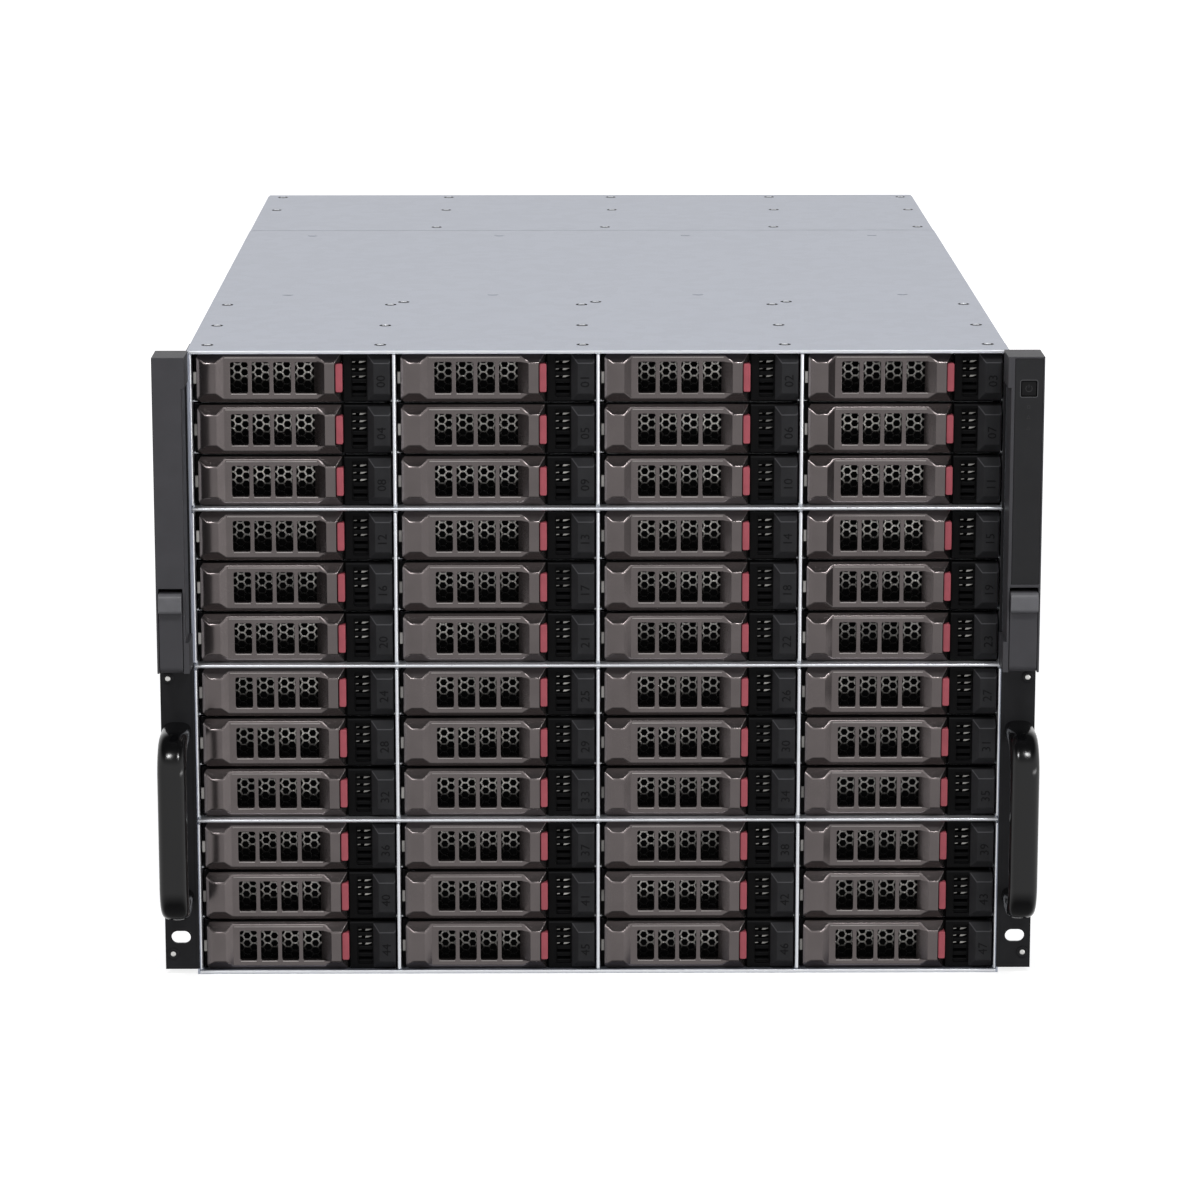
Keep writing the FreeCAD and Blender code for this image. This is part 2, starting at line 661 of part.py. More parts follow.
def cut_bevels(body, start, length):
    behind = "front_set + bevel_depth + cut_over"
    before = "front_set - cut_over"
    for edge, inward in (("carrier_top", "-"), ("seat_gap", "+")):
        outward = "+" if inward == "-" else "-"
        corner = [(before, f"{edge} {inward} (bevel_depth + cut_over)"),
                  (behind, f"{edge} {outward} cut_over"),
                  (before, f"{edge} {outward} cut_over")]
        cut(body, "YZ", start, length, outline(corner))


def make_lever(label, hinged):
    body = new_body(label)
    sunk = "front_set + panel_dip"
    latched_end = "release_start - working_gap"
    ends = [(latched_end, "front_set"), (latched_end, "lever_back"), ("lever_start", "lever_back")]
    if hinged:
        ends = [
            ("neck_right_end", "front_set"),
            ("lever_end", "front_set + bevel_depth"),
            ("lever_end", "lever_back"),
            ("pivot_place", "lever_back", "knuckle_radius", True),
            ("pivot_place - knuckle_radius", "pivot_depth"),
        ]
    plan = [
        ("lever_start", "front_set + corner_dip"),
        ("neck_left_start", "front_set"),
        ("neck_left_end", "front_set"),
        ("panel_start", sunk),
        ("panel_end", sunk),
        ("neck_right_start", "front_set"),
    ] + ends
    add(body, "XY", "seat_gap", "carrier_height", outline(plan))
    cut_bevels(body, "lever_start - cut_over", "lever_end - lever_start + 2 * cut_over")
    windows = []
    for index in range(WINDOWS):
        left = f"window_first + {index} * window_pitch"
        windows.append(rectangle(left, "seat_gap + window_edge",
                                 f"{left} + window_width", "carrier_top - window_edge"))
    cut(body, "XZ", "front_set", "lever_back", *windows)
    if not hinged:
        return body
    mouth = rectangle(latched_end, "seat_gap + release_edge - working_gap",
                      "lever_end + cut_over", "carrier_top - release_edge + working_gap")
    cut(body, "XZ", "front_set - cut_over", "lever_back + cut_over", mouth)
    notch = rectangle("lever_start - cut_over", "front_set + notch_skin",
                      "lever_start + notch_length", "lever_back + cut_over")
    cut(body, "XY", "carrier_top - notch_inset - notch_height", "notch_height", notch)
    cut(body, "XY", "seat_gap + notch_inset", "notch_height", notch)
    cut(body, "XY", "seat_gap + notch_inset", "carrier_height - 2 * notch_inset",
        circle("pivot_place", "pivot_depth", "pin_radius + pin_clearance"))
    return body


# The button stands in the lever's notch, and its foot runs in the bezel plate.
def make_release(label):
    body = new_body(label)
    left = "release_start"
    right = f"{left} + release_width"
    low = "seat_gap + release_edge"
    high = "carrier_top - release_edge"
    corner = "release_corner"
    face = [(f"{left} + {corner}", low), (f"{right} - {corner}", low), (right, f"{low} + {corner}"),
            (right, f"{high} - {corner}"), (f"{right} - {corner}", high),
            (f"{left} + {corner}", high), (left, f"{high} - {corner}"), (left, f"{low} + {corner}")]
    add(body, "XZ", "release_set", "bezel_front - release_set + release_foot", outline(face))
    return body


def make_latched_release(label):
    return box(label, ("0", "0", "0"),
               ("release_width", "bezel_front - release_set", "carrier_height - 2 * release_edge"))


def make_bezel(label, hinged):
    body = new_body(label)
    add(body, "XZ", "bezel_front", "bezel_gauge",
        rectangle("0", "seat_gap", "carrier_width", "carrier_top"))
    far_end = [("carrier_width", "front_set")]
    if hinged:
        far_end = [("grip_end", "front_set"), ("carrier_width", "front_set + grip_ease")]
    plan = [
        ("post_start", "bezel_front"),
        ("post_start", "post_set"),
        ("louvre_end", "post_set"),
        ("grip_start", "front_set"),
    ] + far_end + [("carrier_width", "bezel_front")]
    add(body, "XY", "seat_gap", "carrier_height", outline(plan))
    cut_bevels(body, "post_start - cut_over", "carrier_width - post_start + 2 * cut_over")
    if not hinged:
        return body
    recess = rectangle("louvre_start", "seat_gap + louvre_edge", "louvre_end", "carrier_top - louvre_edge")
    cut(body, "XZ", "post_set - cut_over", "louvre_set - post_set + cut_over", recess)
    vent = rectangle("panel_start + vent_rim", "seat_gap + vent_edge",
                     "panel_end - vent_rim", "carrier_top - vent_edge")
    guide = rectangle("release_start - working_gap", "seat_gap + release_edge - working_gap",
                      "release_start + release_width + working_gap",
                      "carrier_top - release_edge + working_gap")
    cut(body, "XZ", "bezel_front - cut_over", "bezel_gauge + 2 * cut_over", vent, guide)
    slots = []
    for index in range(LOUVRES):
        middle = f"carrier_middle + {index - LOUVRES // 2} * louvre_pitch"
        slots.append(rectangle("louvre_start + louvre_margin", f"{middle} - louvre_slot / 2",
                               "louvre_end - louvre_margin", f"{middle} + louvre_slot / 2"))
    cut(body, "XZ", "louvre_set - cut_over", "bezel_back - louvre_set + 2 * cut_over", *slots)
    half_nose = "nose_radius / 2"
    nose_front = f"pivot_depth - nose_radius * {math.cos(math.pi / 6):.6f}"
    ear = [("pivot_place - nose_radius", "bezel_front"), ("pivot_place - nose_radius", "pivot_depth"),
           (f"pivot_place - {half_nose}", nose_front), (f"pivot_place + {half_nose}", nose_front),
           ("pivot_place + nose_radius", "pivot_depth"), ("pivot_place + nose_radius", "bezel_front")]
    ear_start = "(notch_inset + working_gap)"
    ear_end = "(notch_inset + notch_height - working_gap)"
    add(body, "XY", f"seat_gap + {ear_start}", f"{ear_end} - {ear_start}", outline(ear))
    add(body, "XY", f"carrier_top - {ear_end}", f"{ear_end} - {ear_start}", outline(ear))
    add(body, "XY", f"seat_gap + {ear_end}", f"carrier_height - 2 * {ear_end}",
        circle("pivot_place", "pivot_depth", "pin_radius"))
    return body


def make_screen(label):
    return box(label, ("0", "0", "0"),
               ("panel_end - panel_start", "screen_gauge", "carrier_height - 2 * screen_edge"))


def make_latched_sled(label):
    return box(label, ("0", "0", "0"), ("carrier_width - 2 * sled_inset", "sled_length", "sled_floor"))


def make_sled(label):
    body = new_body(label)
    left = "sled_inset"
    right = "(carrier_width - sled_inset)"
    floor_top = "seat_gap + sled_floor"
    wall_top = "carrier_top - sled_drop"
    channel = [(left, "seat_gap"), (right, "seat_gap"), (right, wall_top),
               (f"{right} - sled_wall", wall_top), (f"{right} - sled_wall", floor_top),
               (f"{left} + sled_wall", floor_top), (f"{left} + sled_wall", wall_top),
               (left, wall_top)]
    add(body, "XZ", "bezel_back", "sled_length", outline(channel))
    cut(body, "XY", "seat_gap - cut_over", "sled_floor + 2 * cut_over",
        rectangle(f"{left} + sled_wall + sled_rim", "bezel_back + sled_end",
                  f"{right} - sled_wall - sled_rim", "bezel_back + sled_length - sled_end"))
    return body


def make_drive(label):
    return box(label, ("0", "0", "0"), ("drive_width", "drive_length", "drive_height"))


# Where each piece of a carrier is drawn, seen from the carrier's corner
PIECE_OFFSETS = {
    "lever": ("0", "0", "0"),
    "release": ("0", "0", "0"),
    "plain_release": ("release_start", "release_set", "seat_gap + release_edge"),
    "bezel": ("0", "0", "0"),
    "screen": ("panel_start", "screen_front", "seat_gap + screen_edge"),
    "sled": ("0", "0", "0"),
    "plain_sled": ("sled_inset", "bezel_back", "seat_gap"),
    "drive": ("(carrier_width - drive_width) / 2", "bezel_back + drive_set",
              "seat_gap + sled_floor"),
}


def piece_place(piece, column, row):
    corner = bay_corner(column, row)
    return [f"{place_text} + {offset}" for place_text, offset in zip(corner, PIECE_OFFSETS[piece])]


# The top row opens: each of its carriers has its pieces apart.
def make_live_bays():
    masters = {
        "lever": make_lever("bay_01_lever", True),
        "release": make_release("bay_01_release"),
        "bezel": make_bezel("bay_01_bezel", True),
        "screen": make_screen("bay_01_screen"),
        "sled": make_sled("bay_01_sled"),
        "drive": make_drive("bay_01_drive"),
    }
    nodes = []
    for piece, master in masters.items():
        nodes.append(place(master, *piece_place(piece, 0, 0)))
        for column in range(1, COLUMNS):
            nodes.append(copy_of(master, f"bay_{column + 1:02d}_{piece}", *piece_place(piece, column, 0)))
    return nodes


# The lower rows stay latched: their pieces are gathered by kind.
def make_latched_bays():
    masters = {
        "lever": make_lever("latched_lever", False),
        "plain_release": make_latched_release("latched_release"),
        "bezel": make_bezel("latched_bezel", False),
        "screen": make_screen("latched_screen"),
        "plain_sled": make_latched_sled("latched_sled"),
        "drive": make_drive("latched_drive"),
    }
    bays = [(column, row) for row in range(1, BLOCKS * ROWS_IN_BLOCK) for column in range(COLUMNS)]
    nodes = []
    for piece, master in masters.items():
        members = [place(master, *piece_place(piece, *bays[0]))]
        for index, bay in enumerate(bays[1:], start=6):
            members.append(copy_of(master, f"{master.Label}_{index:02d}", *piece_place(piece, *bay)))
        nodes.append(group(f"{master.Label}s", members))
    return nodes


# Backplane

def make_backplanes():
    boards = []
    for block in range(BLOCKS):
        boards.append(box(
            f"backplane_{block + 1}",
            ("0 - inner_half", "front_plane + cage_depth", f"{block_floor(block)} + backplane_margin"),
            ("2 * inner_half", "backplane_gauge", "block_clear - 2 * backplane_margin")))
    return group("backplanes", boards)


def make_backplane_sockets():
    sockets = []
    for row in range(BLOCKS * ROWS_IN_BLOCK):
        for column in range(COLUMNS):
            across, along, up = bay_corner(column, row)
            sockets.append(box(
                f"socket_{row * COLUMNS + column + 1:02d}",
                (f"{across} + (carrier_width - socket_width) / 2",
                 f"{along} + cage_depth - socket_depth", f"{up} + socket_rise"),
                ("socket_width", "socket_depth", "socket_height")))
    return group("backplane_sockets", sockets)


# Fans

def fan_axes():
    return [(f"{index - FANS // 2} * fan_pitch", "fan_rise") for index in range(FANS)]


def make_fan_wall():
    body = new_body("fan_wall")
    add(body, "XZ", "wall_front", "wall_gauge",
        rectangle("0 - inner_half", "sheet_gauge", "inner_half", "ceiling_height"))
    windows = []
    for across, up in fan_axes():
        windows.append(rectangle(f"{across} - wall_window / 2", f"{up} - wall_window / 2",
                                 f"{across} + wall_window / 2", f"{up} + wall_window / 2"))
    cut(body, "XZ", "wall_front - cut_over", "wall_gauge + 2 * cut_over", *windows)
    return body


def make_fan_frames():
    body = new_body("fan_frame")
    half = "fan_size / 2"
    add(body, "XZ", "0", "fan_depth", rectangle(f"0 - {half}", f"0 - {half}", half, half),
        many_sided("0", "0", "fan_bore / 2", BORE_SIDES))
    motor_start = "fan_depth - motor_gauge"
    add(body, "XZ", motor_start, "motor_gauge", many_sided("0", "0", "hub_radius", BOSS_SIDES))
    add(body, "XZ", motor_start, "motor_gauge",
        rectangle(f"0 - {half}", "0 - motor_arm / 2", half, "motor_arm / 2"))
    cut(body, "XZ", f"{motor_start} - cut_over", "motor_gauge + 2 * cut_over",
        circle("0", "0", "shaft_radius + pin_clearance"))
    members = []
    for index, (across, up) in enumerate(fan_axes()):
        where = (across, "fan_front", up)
        if index == 0:
            members.append(place(body, *where))
        else:
            members.append(copy_of(body, f"fan_frame_{index + 1}", *where))
    return group("fan_frames", members)


def make_fan_rotors():
    body = new_body("fan_rotor_1")
    add(body, "XZ", "0", "hub_length", many_sided("0", "0", "hub_radius", 2 * BLADES))
    first = "blade_inset"
    last = "hub_length - blade_inset"
    slant = [(first, "0 - blade_sweep / 2"), (first, "blade_gauge - blade_sweep / 2"),
             (last, "blade_gauge + blade_sweep / 2"), (last, "blade_sweep / 2")]
    blade = add(body, "YZ", "hub_radius / 2", "fan_bore / 2 - tip_gap - hub_radius / 2", outline(slant))
    doc.recompute()
    ring = body.newObject("PartDesign::PolarPattern", "blade_ring")
    ring.Originals = [blade]
    ring.Axis = (origin_plane(body, "Y_Axis"), [""])
    ring.Angle = 360
    ring.Occurrences = BLADES
    body.Tip = ring
    add(body, "XZ", "hub_length", "shaft_length", circle("0", "0", "shaft_radius"))
    along = "fan_front + fan_depth - motor_gauge - working_gap - hub_length"
    rotors = []
    for index, (across, up) in enumerate(fan_axes()):
        if index == 0:
            rotors.append(place(body, across, along, up))
        else:
            rotors.append(copy_of(body, f"fan_rotor_{index + 1}", across, along, up))
    return rotors


# Controller

def make_controller():
    board = box("controller_board",
                ("board_left", "board_start", "sheet_gauge + standoff_height"),
                ("board_right - board_left", "board_end - board_start", "board_gauge"))
    sink = new_body("cpu_heatsink")
    pitch = f"((sink_width - fin_gauge) / {FINS - 1})"
    comb = [("0", "0"), ("sink_width", "0")]
    for index in reversed(range(FINS)):
        left = f"{index} * {pitch}"
        right = f"{index} * {pitch} + fin_gauge"
        comb += [(right, "sink_height"), (left, "sink_height")]
        if index > 0:
            comb += [(left, "sink_base"), (f"{index - 1} * {pitch} + fin_gauge", "sink_base")]
    add(sink, "XZ", "0", "sink_length", outline(comb))
    place(sink, "(board_left + board_right - sink_width) / 2", "board_start + sink_set", "board_top")
    return [board, sink]


def make_network_ports():
    body = new_body("network_port")
    half = "port_width / 2"
    add(body, "XZ", "0", "port_length", rectangle(f"0 - {half}", "0", half, "port_height"))
    mouth_half = "(port_width / 2 - port_wall)"
    cut(body, "XZ", "port_length - port_mouth_depth", "port_mouth_depth + cut_over",
        rectangle(f"0 - {mouth_half}", "port_lip", mouth_half, "port_height - port_lip"))
    along = "rear_plane + port_proud - port_length"
    ports = [place(body, port_middle(0), along, "board_top")]
    for index in range(1, PORTS):
        ports.append(copy_of(body, f"network_port_{index + 1}", port_middle(index), along, "board_top"))
    return group("network_ports", ports)


# Power supplies, drawn from their inner front corner

def make_power_supplies():
    body = new_body("power_supply_1")
    add(body, "XY", "0", "supply_height", rectangle("0", "0", "supply_width", "supply_length"))
    cut(body, "XZ", "supply_length - inlet_depth", "inlet_depth + cut_over",
        rectangle("inlet_set", "inlet_rise", "inlet_set + inlet_width", "inlet_rise + inlet_height"))
    end = "supply_length + pull_reach"
    strip = [("pull_start", "supply_length"), ("pull_start", end), ("pull_end", end),
             ("pull_end", "supply_length"), ("pull_end - pull_gauge", "supply_length"),
             ("pull_end - pull_gauge", f"{end} - pull_gauge"),
             ("pull_start + pull_gauge", f"{end} - pull_gauge"),
             ("pull_start + pull_gauge", "supply_length")]
    add(body, "XY", "pull_rise", "pull_height", outline(strip))
    where = ("rear_plane - supply_length", "sheet_gauge + seat_gap")
    place(body, supply_side(0), *where)
    return [body, copy_of(body, "power_supply_2", supply_side(1), *where)]


# Rack ears and what they carry. "side" is -1 on the left and 1 on the right.

def make_ear(name, side):
    body = new_body(f"rack_ear_{name}")
    wall = f"{side} * half_width"
    flange = f"{side} * (half_width + flange_gauge)"
    edge = f"{side} * ear_half"
    plan = [(wall, "front_plane"), (edge, "front_plane"), (edge, "front_plane + ear_gauge"),
            (flange, "front_plane + ear_gauge"), (flange, "front_plane + flange_depth"),
            (wall, "front_plane + flange_depth")]
    add(body, "XY", "ear_bottom", "ear_top - ear_bottom", outline(plan))
    slots = [round_slot(f"{side} * slot_place", f"slot_rise + {step} * slot_step",
                        "slot_length", "slot_width") for step in range(2)]
    cut(body, "XZ", "front_plane - cut_over", "ear_gauge + 2 * cut_over", *slots)
    return body


def key_opening():
    return rectangle("insert_middle - key_mouth", "key_rise - key_mouth",
                     "insert_middle + key_mouth", "key_rise + key_mouth")


def make_ear_cover(name, side):
    body = new_body(f"ear_cover_{name}")
    inner = f"{side} * shell_inner_{name}"
    relief = f"{side} * (shell_inner_{name} + relief_depth)"
    edge = f"{side} * shell_outer"
    relief_top = "shell_top - relief_margin"
    relief_bottom = "shell_bottom + relief_margin"
    face = [(inner, "shell_bottom"), (edge, "shell_bottom"), (edge, "shell_top"),
            (inner, "shell_top"), (inner, relief_top), (relief, relief_top),
            (relief, relief_bottom), (inner, relief_bottom)]
    add(body, "XZ", "shell_front", "shell_depth", outline(face))
    top_corner = [("shell_front - cut_over", "shell_top - shell_bevel - cut_over"),
                  ("shell_front + shell_bevel + cut_over", "shell_top + cut_over"),
                  ("shell_front - cut_over", "shell_top + cut_over")]
    left_end = "0 - shell_outer - cut_over" if side < 0 else "shell_inner_right - cut_over"
    across = f"shell_outer - shell_inner_{name} + 2 * cut_over"
    cut(body, "YZ", left_end, across, outline(top_corner))
    outer = [(f"{side} * (shell_outer - shell_bevel - cut_over)", "shell_front - cut_over"),
             (f"{side} * (shell_outer + cut_over)", "shell_front - cut_over"),
             (f"{side} * (shell_outer + cut_over)", "shell_front + shell_bevel + cut_over")]
    cut(body, "XY", "shell_bottom - cut_over", "shell_top - shell_bottom + 2 * cut_over", outline(outer))
    near = f"{side} * hollow_inner_{name}"
    far = f"{side} * hollow_outer"
    cut(body, "XZ", "shell_front + insert_gauge + shell_wall", "shell_depth + cut_over",
        rectangle(near, "latch_ceiling + shell_wall", far, "shell_top - shell_bevel - shell_wall"))
    cut(body, "XZ", "shell_front - cut_over", "shell_depth + 2 * cut_over",
        rectangle(near, "shell_bottom - cut_over", far, "latch_ceiling"))
    cut(body, "YZ", left_end, across,
        circle("latch_axis_along", "latch_axis_up", "latch_pin + pin_clearance"))
    if side > 0:
        cut(body, "XZ", "shell_front - cut_over", "insert_gauge + cut_over",
            rectangle("insert_low", "insert_bottom", "insert_high", "insert_top"))
        cut(body, "XZ", "shell_front - cut_over", "shell_depth", key_opening())
    return body


# The latch turns about a pin at its foot and is pulled open by the grip at its top.
def make_latch(name, side):
    body = new_body(f"ear_latch_{name}")
    back = "latch_front + latch_gauge"
    grip = "latch_front - latch_grip"
    profile = [
        ("latch_front", "latch_axis_up", "latch_round", True),
        ("latch_axis_along", "shell_bottom", "latch_round", True),
        (back, "latch_axis_up"),
        (back, "latch_top"),
        (f"{grip} + latch_grip / 2", "latch_top"),
        (grip, "latch_top - latch_grip / 2"),
        (grip, "latch_top - latch_grip_height + latch_grip / 2"),
        ("latch_front", "latch_top - latch_grip_height"),
    ]
    width = f"(hollow_outer - hollow_inner_{name} - 2 * working_gap)"
    left = "(hollow_inner_right + working_gap)" if side > 0 else "(working_gap - hollow_outer)"
    add(body, "YZ", left, width, outline(profile))
    stub = "(shell_wall + working_gap)"
    add(body, "YZ", f"{left} - {stub}", f"{width} + 2 * {stub}",
        circle("latch_axis_along", "latch_axis_up", "latch_pin"))
    return body


def make_handle(name, side):
    body = new_body(f"handle_{name}")
    inner = "(handle_front + handle_bar)"
    arch = [
        ("front_plane", "handle_bottom"),
        ("handle_front + handle_bend", "handle_bottom", "handle_bend", False),
        ("handle_front", "handle_bottom + handle_bend"),
        ("handle_front", "handle_top - handle_bend", "handle_bend", False),
        ("handle_front + handle_bend", "handle_top"),
        ("front_plane", "handle_top"),
        ("front_plane", "handle_top - handle_bar"),
        (f"{inner} + handle_inside_bend", "handle_top - handle_bar", "handle_inside_bend", True),
        (inner, "handle_top - handle_bar - handle_inside_bend"),
        (inner, "handle_bottom + handle_bar + handle_inside_bend", "handle_inside_bend", True),
        (f"{inner} + handle_inside_bend", "handle_bottom + handle_bar"),
        ("front_plane", "handle_bottom + handle_bar"),
    ]
    left = "(handle_outer - handle_width)" if side > 0 else "(0 - handle_outer)"
    arch_pad = add(body, "YZ", left, "handle_width", outline(arch))
    doc.recompute()
    ease = body.newObject("PartDesign::Chamfer", "eased_edges")
    face_y = number_of("front_plane")
    long_edges = []
    for index, edge in enumerate(arch_pad.Shape.Edges, start=1):
        runs_across = abs(edge.BoundBox.XLength) > 1e-6
        on_ear = edge.BoundBox.YMax > face_y - 1e-6 and edge.BoundBox.YLength < 1e-6
        if not runs_across and not on_ear:
            long_edges.append(f"Edge{index}")
    ease.Base = (arch_pad, long_edges)
    ease.setExpression("Size", bound("handle_ease"))
    return body


def make_panel_insert():
    body = new_body("panel_insert")
    add(body, "XZ", "shell_front", "insert_gauge",
        rectangle("insert_low + working_gap / 2", "insert_bottom + working_gap / 2",
                  "insert_high - working_gap / 2", "insert_top - working_gap / 2"),
        key_opening())
    return body


def make_power_button():
    return box("power_button",
               ("insert_middle - key_size / 2", "shell_front + key_set", "key_rise - key_size / 2"),
               ("key_size", "key_depth", "key_size"))


def make_all():
    nodes = [make_chassis_base(), make_rear_panel(), make_slot_covers()]
    nodes += make_top_covers()
    nodes += [make_bay_shelves(), make_bay_dividers(), make_backplanes(), make_backplane_sockets()]
    nodes += make_live_bays() + make_latched_bays()
    nodes += [make_fan_wall(), make_fan_frames()] + make_fan_rotors()
    nodes += make_controller() + [make_network_ports()] + make_power_supplies()
    for name, side in SIDES.items():
        nodes += [make_ear(name, side), make_ear_cover(name, side),
                  make_latch(name, side), make_handle(name, side)]
    nodes += [make_panel_insert(), make_power_button()]
    return nodes


def check_and_write(nodes):
    doc.recompute()
    for thing in doc.Objects:
        if "Invalid" in thing.State or "Error" in thing.State:
            raise RuntimeError(f"{thing.Label} failed: {thing.State}")
    os.makedirs("parts", exist_ok=True)
    for node in nodes:
        shape = Part.getShape(node)
        if shape.isNull() or not shape.isValid() or not shape.Solids:
            raise RuntimeError(f"{node.Label} has no valid solid")
        shape.exportStep(f"parts/{node.Label}.step")
    print(f"{len(nodes)} nodes written")


check_and_write(make_all())
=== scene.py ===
import math

import bmesh
import bpy
from mathutils import Matrix, Vector


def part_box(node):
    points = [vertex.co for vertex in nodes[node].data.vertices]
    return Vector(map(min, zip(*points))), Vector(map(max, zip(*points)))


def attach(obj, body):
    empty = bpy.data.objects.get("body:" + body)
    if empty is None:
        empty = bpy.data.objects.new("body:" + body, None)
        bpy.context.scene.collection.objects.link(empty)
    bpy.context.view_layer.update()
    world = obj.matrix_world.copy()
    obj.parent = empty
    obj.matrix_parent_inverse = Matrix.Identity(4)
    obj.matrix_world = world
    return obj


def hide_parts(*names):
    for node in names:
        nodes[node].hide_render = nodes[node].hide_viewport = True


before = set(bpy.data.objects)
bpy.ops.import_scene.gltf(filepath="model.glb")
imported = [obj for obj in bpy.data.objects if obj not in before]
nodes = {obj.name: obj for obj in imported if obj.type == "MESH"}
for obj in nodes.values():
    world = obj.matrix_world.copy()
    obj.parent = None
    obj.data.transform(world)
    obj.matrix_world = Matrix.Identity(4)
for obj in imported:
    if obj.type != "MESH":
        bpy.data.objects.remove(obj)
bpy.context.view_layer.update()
scene = bpy.context.scene
print("frame loaded:", len(nodes), "nodes")

# Sizes are in millimetres; meshes are scaled to metres when they are made.
mm = 0.001
cage = {"columns": 4, "rows": 12, "rowsInBlock": 3, "blocks": 4, "liveRows": 1,
        "columnPitch": 111.0, "rowPitch": 28.65, "blockStep": 87.95,
        "floor": 1.2, "leftGap": 1.95, "front": -350.0, "rear": 350.0, "top": 352.2}


# Helpers for meshes.

def link(name, data):
    obj = bpy.data.objects.new(name, data)
    scene.collection.objects.link(obj)
    return obj


def drop(obj):
    mesh = obj.data
    bpy.data.objects.remove(obj)
    if mesh and mesh.users == 0:
        bpy.data.meshes.remove(mesh)


def toMesh(bm, name, scale=mm):
    bmesh.ops.recalc_face_normals(bm, faces=bm.faces)
    if scale != 1:
        bmesh.ops.scale(bm, vec=(scale, scale, scale), verts=bm.verts)
    mesh = bpy.data.meshes.new(name)
    bm.to_mesh(mesh)
    bm.free()
    return mesh


def made(name, bm):
    return link(name, toMesh(bm, name))


def reopened(*objects):
    # Their meshes together again, in millimetres.
    bm = bmesh.new()
    for obj in objects:
        bm.from_mesh(obj.data)
    bmesh.ops.scale(bm, vec=(1 / mm,) * 3, verts=bm.verts)
    return bm


def renewed(obj, bm):
    old = obj.data
    obj.data = toMesh(bm, obj.name)
    bpy.data.meshes.remove(old)
    return obj


def settle(obj):
    # The evaluated shape becomes a plain mesh.
    graph = bpy.context.evaluated_depsgraph_get()
    mesh = bpy.data.meshes.new_from_object(obj.evaluated_get(graph))
    old = obj.data
    obj.modifiers.clear()
    obj.data = mesh
    mesh.name = obj.name
    if old.users == 0:
        bpy.data.meshes.remove(old)
    return obj


def smooth(obj, angle=32):
    # Smooth shading that leaves large flat faces flat.
    obj.data.shade_smooth()
    obj.data.set_sharp_from_angle(angle=math.radians(angle))
    change = obj.modifiers.new("even", "WEIGHTED_NORMAL")
    change.keep_sharp = True
    return settle(obj)


def paint(obj, *names):
    obj.data.materials.clear()
    for name in names:
        obj.data.materials.append(finish[name])
    return obj


def belongs(obj, body, slot, *replaced):
    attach(obj, body)
    if replaced:
        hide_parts(*replaced)
    return obj


def dress(obj, material, body, slot, *replaced):
    return belongs(paint(obj, material), body, slot, *replaced)


def prism(bm, points, axis, low, high):
    # A closed outline on the two other axes, run along one.
    order = {"x": (1, 2, 0), "y": (0, 2, 1), "z": (0, 1, 2)}[axis]
    rings = []
    for level in (low, high):
        ring = []
        for first, second in points:
            place = [0.0, 0.0, 0.0]
            place[order[0]], place[order[1]], place[order[2]] = first, second, level
            ring.append(bm.verts.new(place))
        rings.append(ring)
    bm.faces.new(rings[0])
    bm.faces.new(rings[1])
    wall(bm, rings[0], rings[1])


def wall(bm, first, second):
    # Faces between two rings of equal count.
    count = len(first)
    for index in range(count):
        following = (index + 1) % count
        bm.faces.new([first[index], first[following], second[following], second[index]])


def block(bm, low, high):
    outline = [(low[0], low[1]), (high[0], low[1]), (high[0], high[1]), (low[0], high[1])]
    prism(bm, outline, "z", low[2], high[2])


def blocks(name, *boxes):
    bm = bmesh.new()
    for low, high in boxes:
        block(bm, low, high)
    return made(name, bm)


def extruded(name, points, axis, low, high):
    bm = bmesh.new()
    prism(bm, points, axis, low, high)
    return made(name, bm)


def arc(centre, radius, start, end, steps):
    points = []
    for index in range(steps + 1):
        turn = math.radians(start + (end - start) * index / steps)
        points.append((centre[0] + radius * math.cos(turn), centre[1] + radius * math.sin(turn)))
    return points


def roundedRect(low, high, radius, steps=3):
    corners = [((high[0] - radius, high[1] - radius), 0), ((low[0] + radius, high[1] - radius), 90),
               ((low[0] + radius, low[1] + radius), 180), ((high[0] - radius, low[1] + radius), 270)]
    points = []
    for centre, start in corners:
        points += arc(centre, radius, start, start + 90, steps)
    return points


def closeRings(bm, rings):
    # Faces from each ring to the next and over both ends.
    for first, second in zip(rings, rings[1:]):
        wall(bm, first, second)
    bm.faces.new(rings[0])
    bm.faces.new(rings[-1])


def ringed(bm, centre, axis, profile, steps):
    # A turned shape: the profile holds radius and height along the axis.
    rings = []
    for radius, height in profile:
        ring = []
        for index in range(steps):
            turn = 2 * math.pi * index / steps
            across, up = radius * math.cos(turn), radius * math.sin(turn)
            offset = {"x": (height, across, up), "y": (across, height, up), "z": (across, up, height)}[axis]
            ring.append(bm.verts.new([start + step for start, step in zip(centre, offset)]))
        rings.append(ring)
    closeRings(bm, rings)


def turned(name, axis, profile, steps):
    bm = bmesh.new()
    ringed(bm, (0, 0, 0), axis, profile, steps)
    return made(name, bm)


def sliceOff(bm, point, normal):
    # Everything on the normal's side goes, and the cut is closed.
    geometry = bm.verts[:] + bm.edges[:] + bm.faces[:]
    cut = bmesh.ops.bisect_plane(bm, geom=geometry, plane_co=point, plane_no=normal, clear_outer=True)
    edges = [item for item in cut["geom_cut"] if isinstance(item, bmesh.types.BMEdge)]
    bmesh.ops.contextual_create(bm, geom=edges)


def carve(obj, cutter):
    tool = made("cutter", cutter)
    change = obj.modifiers.new("carve", "BOOLEAN")
    change.operation = "DIFFERENCE"
    change.solver = "EXACT"
    change.object = tool
    settle(obj)
    drop(tool)
    return obj


